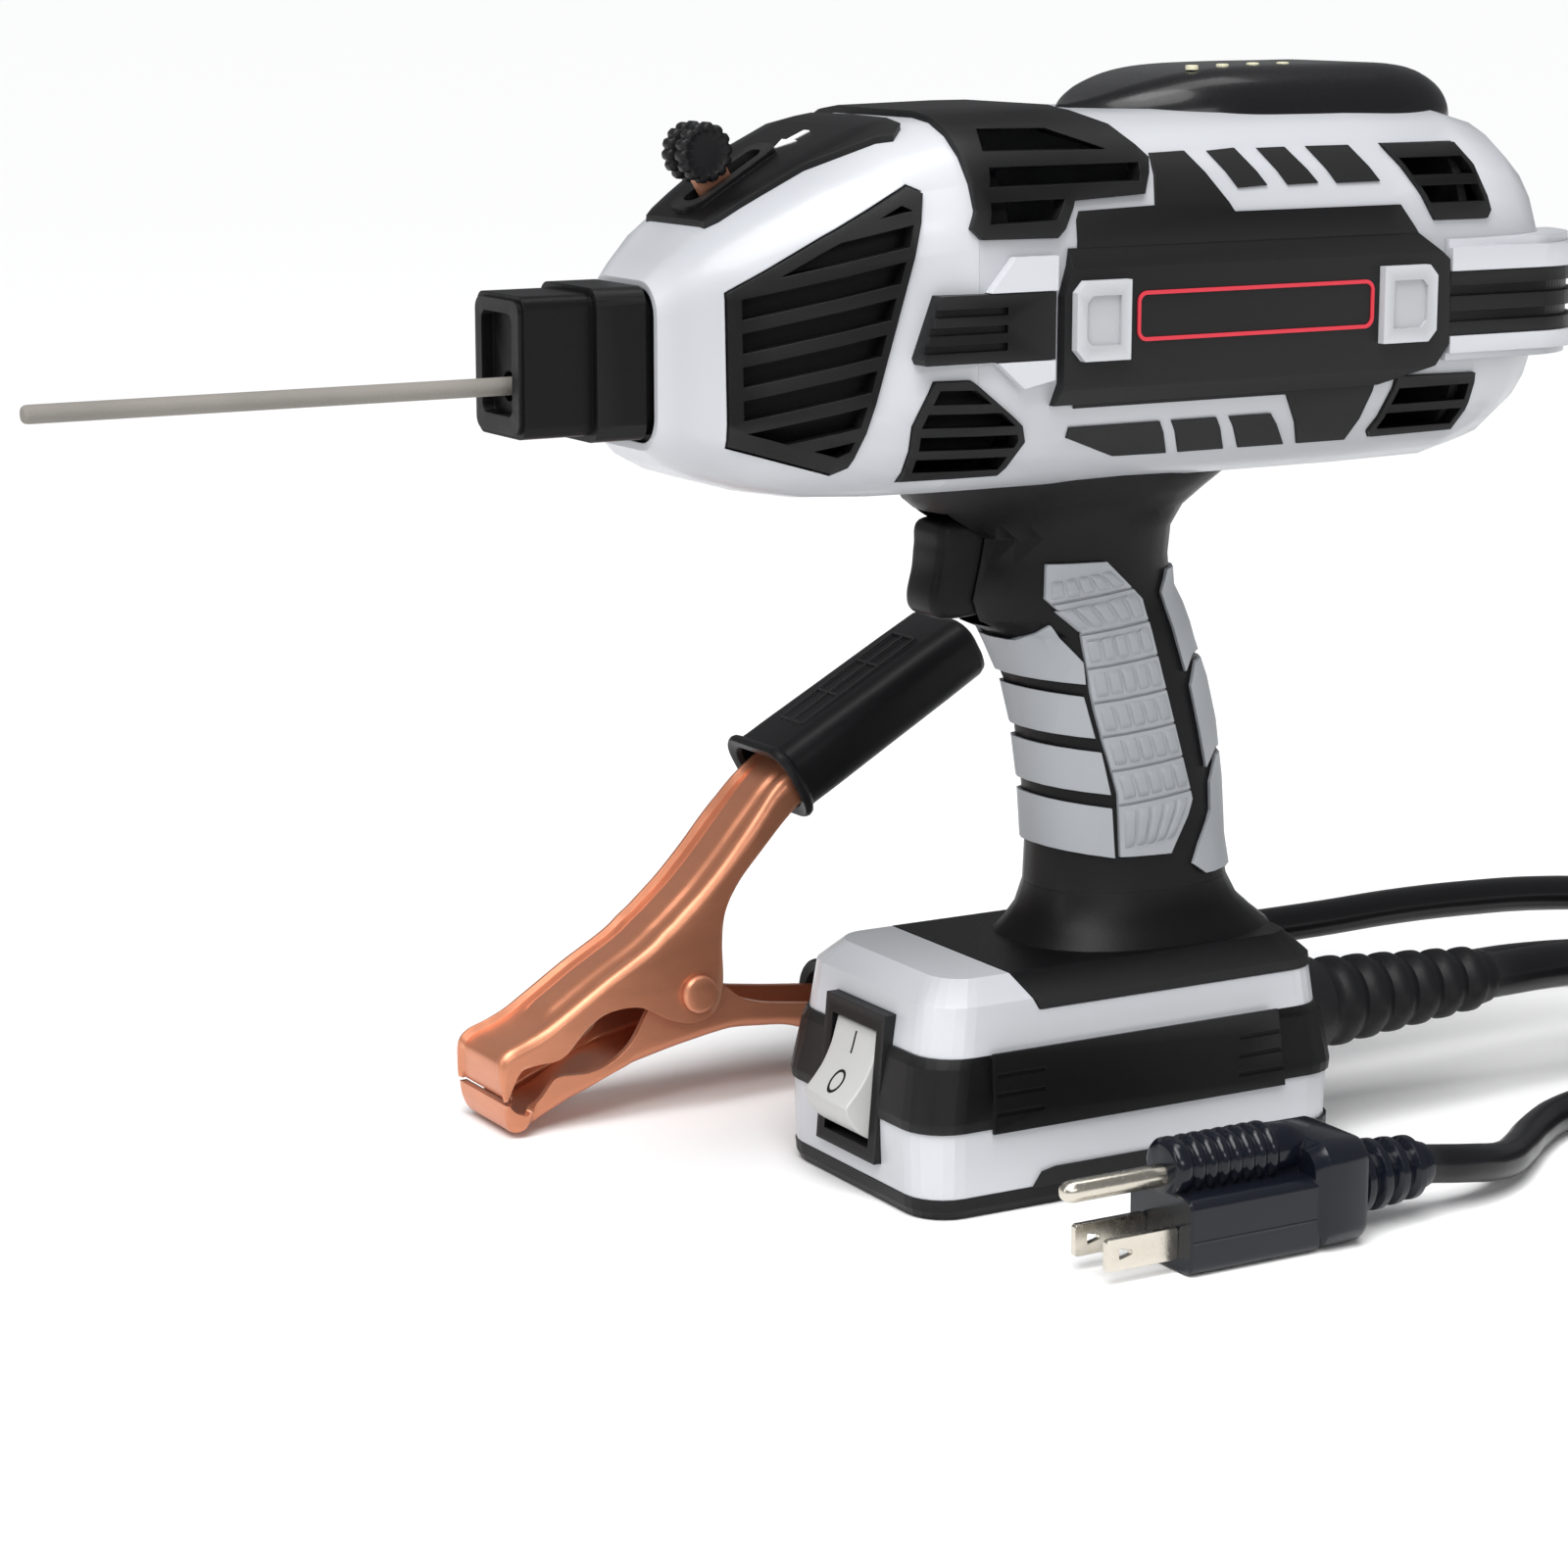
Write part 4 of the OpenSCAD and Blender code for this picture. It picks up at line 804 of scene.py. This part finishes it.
def make_trigger():
    """The lever's outline with its corners eased, rounded towards both sides."""
    outline = [(-40.3, 163.9), (-41.7, 158), (-42.3, 152.4), (-43.6, 145.6), (-42.6, 142),
               (-39, 140.5), (-29, 140.8), (-20, 142), (-17.8, 146), (-17.7, 160), (-20.4, 163.8),
               (-30, 164.8)]
    line = spline([(x, 0, z) for x, z in outline], 6, closed=True)
    middle, clear = Vector((-30, 0, 152.5)), 0.15
    rings = []
    for y, inwards in ((-7.15, 2.6), (-7.0, 1.7), (-6.5, 0.8), (-5.6, 0.2), (-4.4, 0)):
        ring = [p + (middle - p).normalized() * (inwards + clear) for p in line]
        rings.append([(p[0], y, p[2]) for p in ring])
    rings += [[(x, -y, z) for x, y, z in ring] for ring in reversed(rings)]
    solid = Solid()
    solid.loft(rings)
    piece("trigger_blade", solid, "black_plastic", "trigger_lever", ["trigger"],
          angle=50)


# ---------- switch rocker ----------

# The rocker's hollow face from its lower lip to its upper edge, as x, z about the pivot
ROCKER_FACE = [(-13.55, -3.8), (-10.6, -0.6), (-8.2, 2.5), (-6, 6.8), (-4.7, 11), (-3.9, 13.8)]


def make_rocker():
    """The white cap and the I and O pressed into its face."""
    px, pz = -55.8, 27.6
    half, radius, back, steps = 10.05, 14.34, 8, 40
    face = [(p[0], p[1]) for p in spline([(x, z, 0) for x, z in ROCKER_FACE], 6)]
    (lip_x, lip_z), (upper_x, upper_z) = ROCKER_FACE[0], ROCKER_FACE[-1]
    start, end = math.atan2(upper_z, upper_x), math.atan2(lip_z, lip_x)
    outline = list(face)
    for k in range(1, steps):
        a = start + (end - start) * k / steps
        outline.append((min(back, radius * math.cos(a)), radius * math.sin(a)))
    solid = Solid()
    solid.prism([(px + x, -half, pz + z) for x, z in outline], (0, 2 * half, 0))
    obj = piece("rocker_cap", solid, "rocker_white", "switch_rocker", ["rocker"],
                angle=25)
    round_edges(obj, 0.4, 3, 40)
    marks = Solid()

    def on_face(s, lift):
        """Point at height s on the face, lifted off it."""
        for (x0, z0), (x1, z1) in zip(face, face[1:]):
            if z0 <= s <= z1:
                t = (s - z0) / (z1 - z0)
                normal = Vector((-(z1 - z0), 0, x1 - x0)).normalized()
                return Vector((px + x0 + (x1 - x0) * t, 0, pz + s)) + normal * lift
        return Vector((px + face[-1][0], 0, pz + s))

    def stroke(path, closed=False):
        """A line along the path on the face; the path is points across and up."""
        half_line, under, over = 0.32, -0.2, 0.08
        rings = []
        for k, (y, s) in enumerate(path):
            y2, s2 = path[(k + 1) % len(path)] if closed or k + 1 < len(path) else path[k]
            y1, s1 = path[k - 1] if closed or k else path[k]
            ahead = Vector((y2 - y1, s2 - s1)).normalized()
            cross = Vector((-ahead[1], ahead[0])) * half_line
            ring = []
            for w, lift in ((-1, under), (-1, over), (1, over), (1, under)):
                p = on_face(s + cross[1] * w, lift)
                ring.append((p[0], y + cross[0] * w, p[2]))
            rings.append(ring)
        if closed:
            rings.append(rings[0])
        marks.loft(rings, caps=not closed)

    middle, foot, tall, ring_radius = 0.1, 6.6, 5.4, 2.3
    stroke([(middle, foot + tall * k / 8) for k in range(9)])
    turn = [TAU * k / steps for k in range(steps)]
    stroke([(middle + ring_radius * math.cos(a), middle + ring_radius * math.sin(a)) for a in turn],
           closed=True)
    piece("rocker_marks", marks, "rocker_white", "switch_rocker",
          mat=MAT["mark_black"])


# ---------- plug and strain reliefs ----------

# x and y of the middle of the plug's inner end, which faces -x
PLUG_X, PLUG_Y = -29, -85
BLADE_HALF, BLADE_HOLE_X, BLADE_HOLE_R = 0.8, -4.9, 1.9


def ribbed(first, count, pitch, low, high, taper=0.0):
    """Profile of a row of rounded ribs, each a little lower than the one before by taper."""
    out = []
    for k in range(count):
        s, r0, r1 = first + pitch * k, low - taper * k, high - taper * k
        out += [(s, r0), (s + 0.12 * pitch, (r0 + r1) / 2), (s + 0.25 * pitch, r1 - 0.1),
                (s + 0.42 * pitch, r1), (s + 0.6 * pitch, r1 - 0.1), (s + 0.72 * pitch, (r0 + r1) / 2),
                (s + 0.84 * pitch, r0)]
    return out


def block(solid, stations, y, z, radius, steps=6):
    """A body with round corners along the plug; stations are distance, height and width."""
    solid.loft([[(PLUG_X + s, y + across, z + up) for up, across in round_box(tall, wide, radius, steps)]
                for s, tall, wide in stations])


def blade(solid, x, y, z, outline):
    """A flat prong with a hole through it: its two faces, its outer wall and the hole's wall."""
    turns = [math.atan2(q, p - BLADE_HOLE_X) for p, q in outline]
    hole = [(x + BLADE_HOLE_X + BLADE_HOLE_R * math.cos(a), z + BLADE_HOLE_R * math.sin(a))
            for a in turns]
    outer = [(x + p, z + q) for p, q in outline]
    sides = (y - BLADE_HALF, y + BLADE_HALF)
    for side in sides:
        solid.loft([[(p, side, q) for p, q in edge] for edge in (outer, hole)], caps=False)
    for edge in (outer, hole):
        solid.loft([[(p, side, q) for p, q in edge] for side in sides], caps=False)


def make_plug():
    """The plug's shell with its ribs and collar, its strain relief and its three pins."""
    barrel_z, box_z, web_z, collar_z, seam_z, relief_z, pin_z = 22.8, 9, 19, 13, 8, 12, 21.3
    solid = Solid()
    barrel = [(0, 5.6), (0.5, 6.7), (1.2, 7.2), (3.2, 7.25), (4.2, 7.0), (4.8, 6.4)]
    barrel += ribbed(5.4, 7, 3.5, 6.3, 7.25) + [(31, 6.4), (35, 6.2), (38.5, 5)]
    turned(solid, (PLUG_X, PLUG_Y, barrel_z), (1, 0, 0), barrel, 48)
    block(solid, [(0.05, 17.2, 24.2), (0.5, 18, 25), (36, 18, 25), (37, 17.8, 24.8)],
          PLUG_Y, box_z, 2.4)
    block(solid, [(1, 6, 9), (4, 6.5, 10.5), (30, 6.5, 10.5), (37, 6.5, 10.5)], PLUG_Y, web_z, 1.5)
    block(solid, [(35.6, 22, 24), (37.4, 24.6, 26.8), (38.4, 25.8, 27.9), (48.5, 25.8, 27.9),
                  (50, 24.8, 26.8), (51, 22, 23)], PLUG_Y, collar_z, 5.4, 8)
    for side in (-1, 1):
        block(solid, [(0.3, 0.5, 0.5), (36, 0.5, 0.5)], PLUG_Y + side * 12.45, seam_z, 0.1, 2)
    piece("plug_shell", solid, "plug_vinyl", "gun", ["plug_body"], angle=35)
    relief = Solid()
    profile = [(-1, 8.4), (1, 8.7)] + ribbed(2, 4, 5.4, 7.4, 9.2, 0.45) + [(24, 6.0), (25.9, 5.4)]
    turned(relief, (PLUG_X + 51, PLUG_Y, relief_z), (1, 0, 0), profile, 48)
    piece("plug_sleeve", relief, "plug_vinyl", "gun", ["plug_relief"], angle=35)
    pins = Solid()
    outline = round_box(19.8, 7.7, 0.8, 3)
    for side in (-1, 1):
        blade(pins, PLUG_X - 9.9, PLUG_Y + 6.5 * side, 6.85, outline)
    tip = [(-27.8, 0.8), (-27.3, 1.7), (-26.2, 2.4), (-24.6, 2.68), (-2, 2.68), (2, 2.68)]
    turned(pins, (PLUG_X, PLUG_Y, pin_z), (1, 0, 0), tip, 40)
    piece("plug_prongs", pins, "pin_nickel", "gun", ["plug_pins"], angle=35)


def make_relief():
    """The ribbed boot where the earth lead leaves the base."""
    solid = Solid()
    profile = [(0, 12.4), (8.4, 12.4), (8.9, 12.0), (9.2, 11.2)]
    profile += ribbed(12, 6, 8.6, 10.4, 11.7, 0.62) + [(64, 7.2), (65.6, 6.9), (66, 6.3)]
    turned(solid, (58, -15, 33), (1, 0, 0), profile, 48)
    piece("lead_boot", solid, "cable_rubber", "gun", ["earth_relief"], angle=50)


# ---------- build ----------

make_camera()
make_materials()
mains_lead, earth_lead = make_leads()
make_clamp()
make_sleeve("grip_upper", (-34, 83.5), 60.6, 67, "clamp_lever", ["sleeve_upper"], (-1, 14, 54))
make_sleeve("grip_lower", (-15, 18.5), 96.7, 66, "gun", ["sleeve_lower"], (1, 14, 54))
make_knob()
make_dome()
make_electrode()
make_icon()
make_trigger()
make_rocker()
make_plug()
make_relief()
make_ties("mains_ties", (225, -85), 47.5, 20.6, 29.4, (-60, -130))
make_ties("earth_ties", (328, 26), 65, 26.6, 25.8, (20, -60))
make_stage()
# dark sheets behind the vents as painted shade
make_vent_shade_sheets()
make_pad_ribs()
dress_cad()
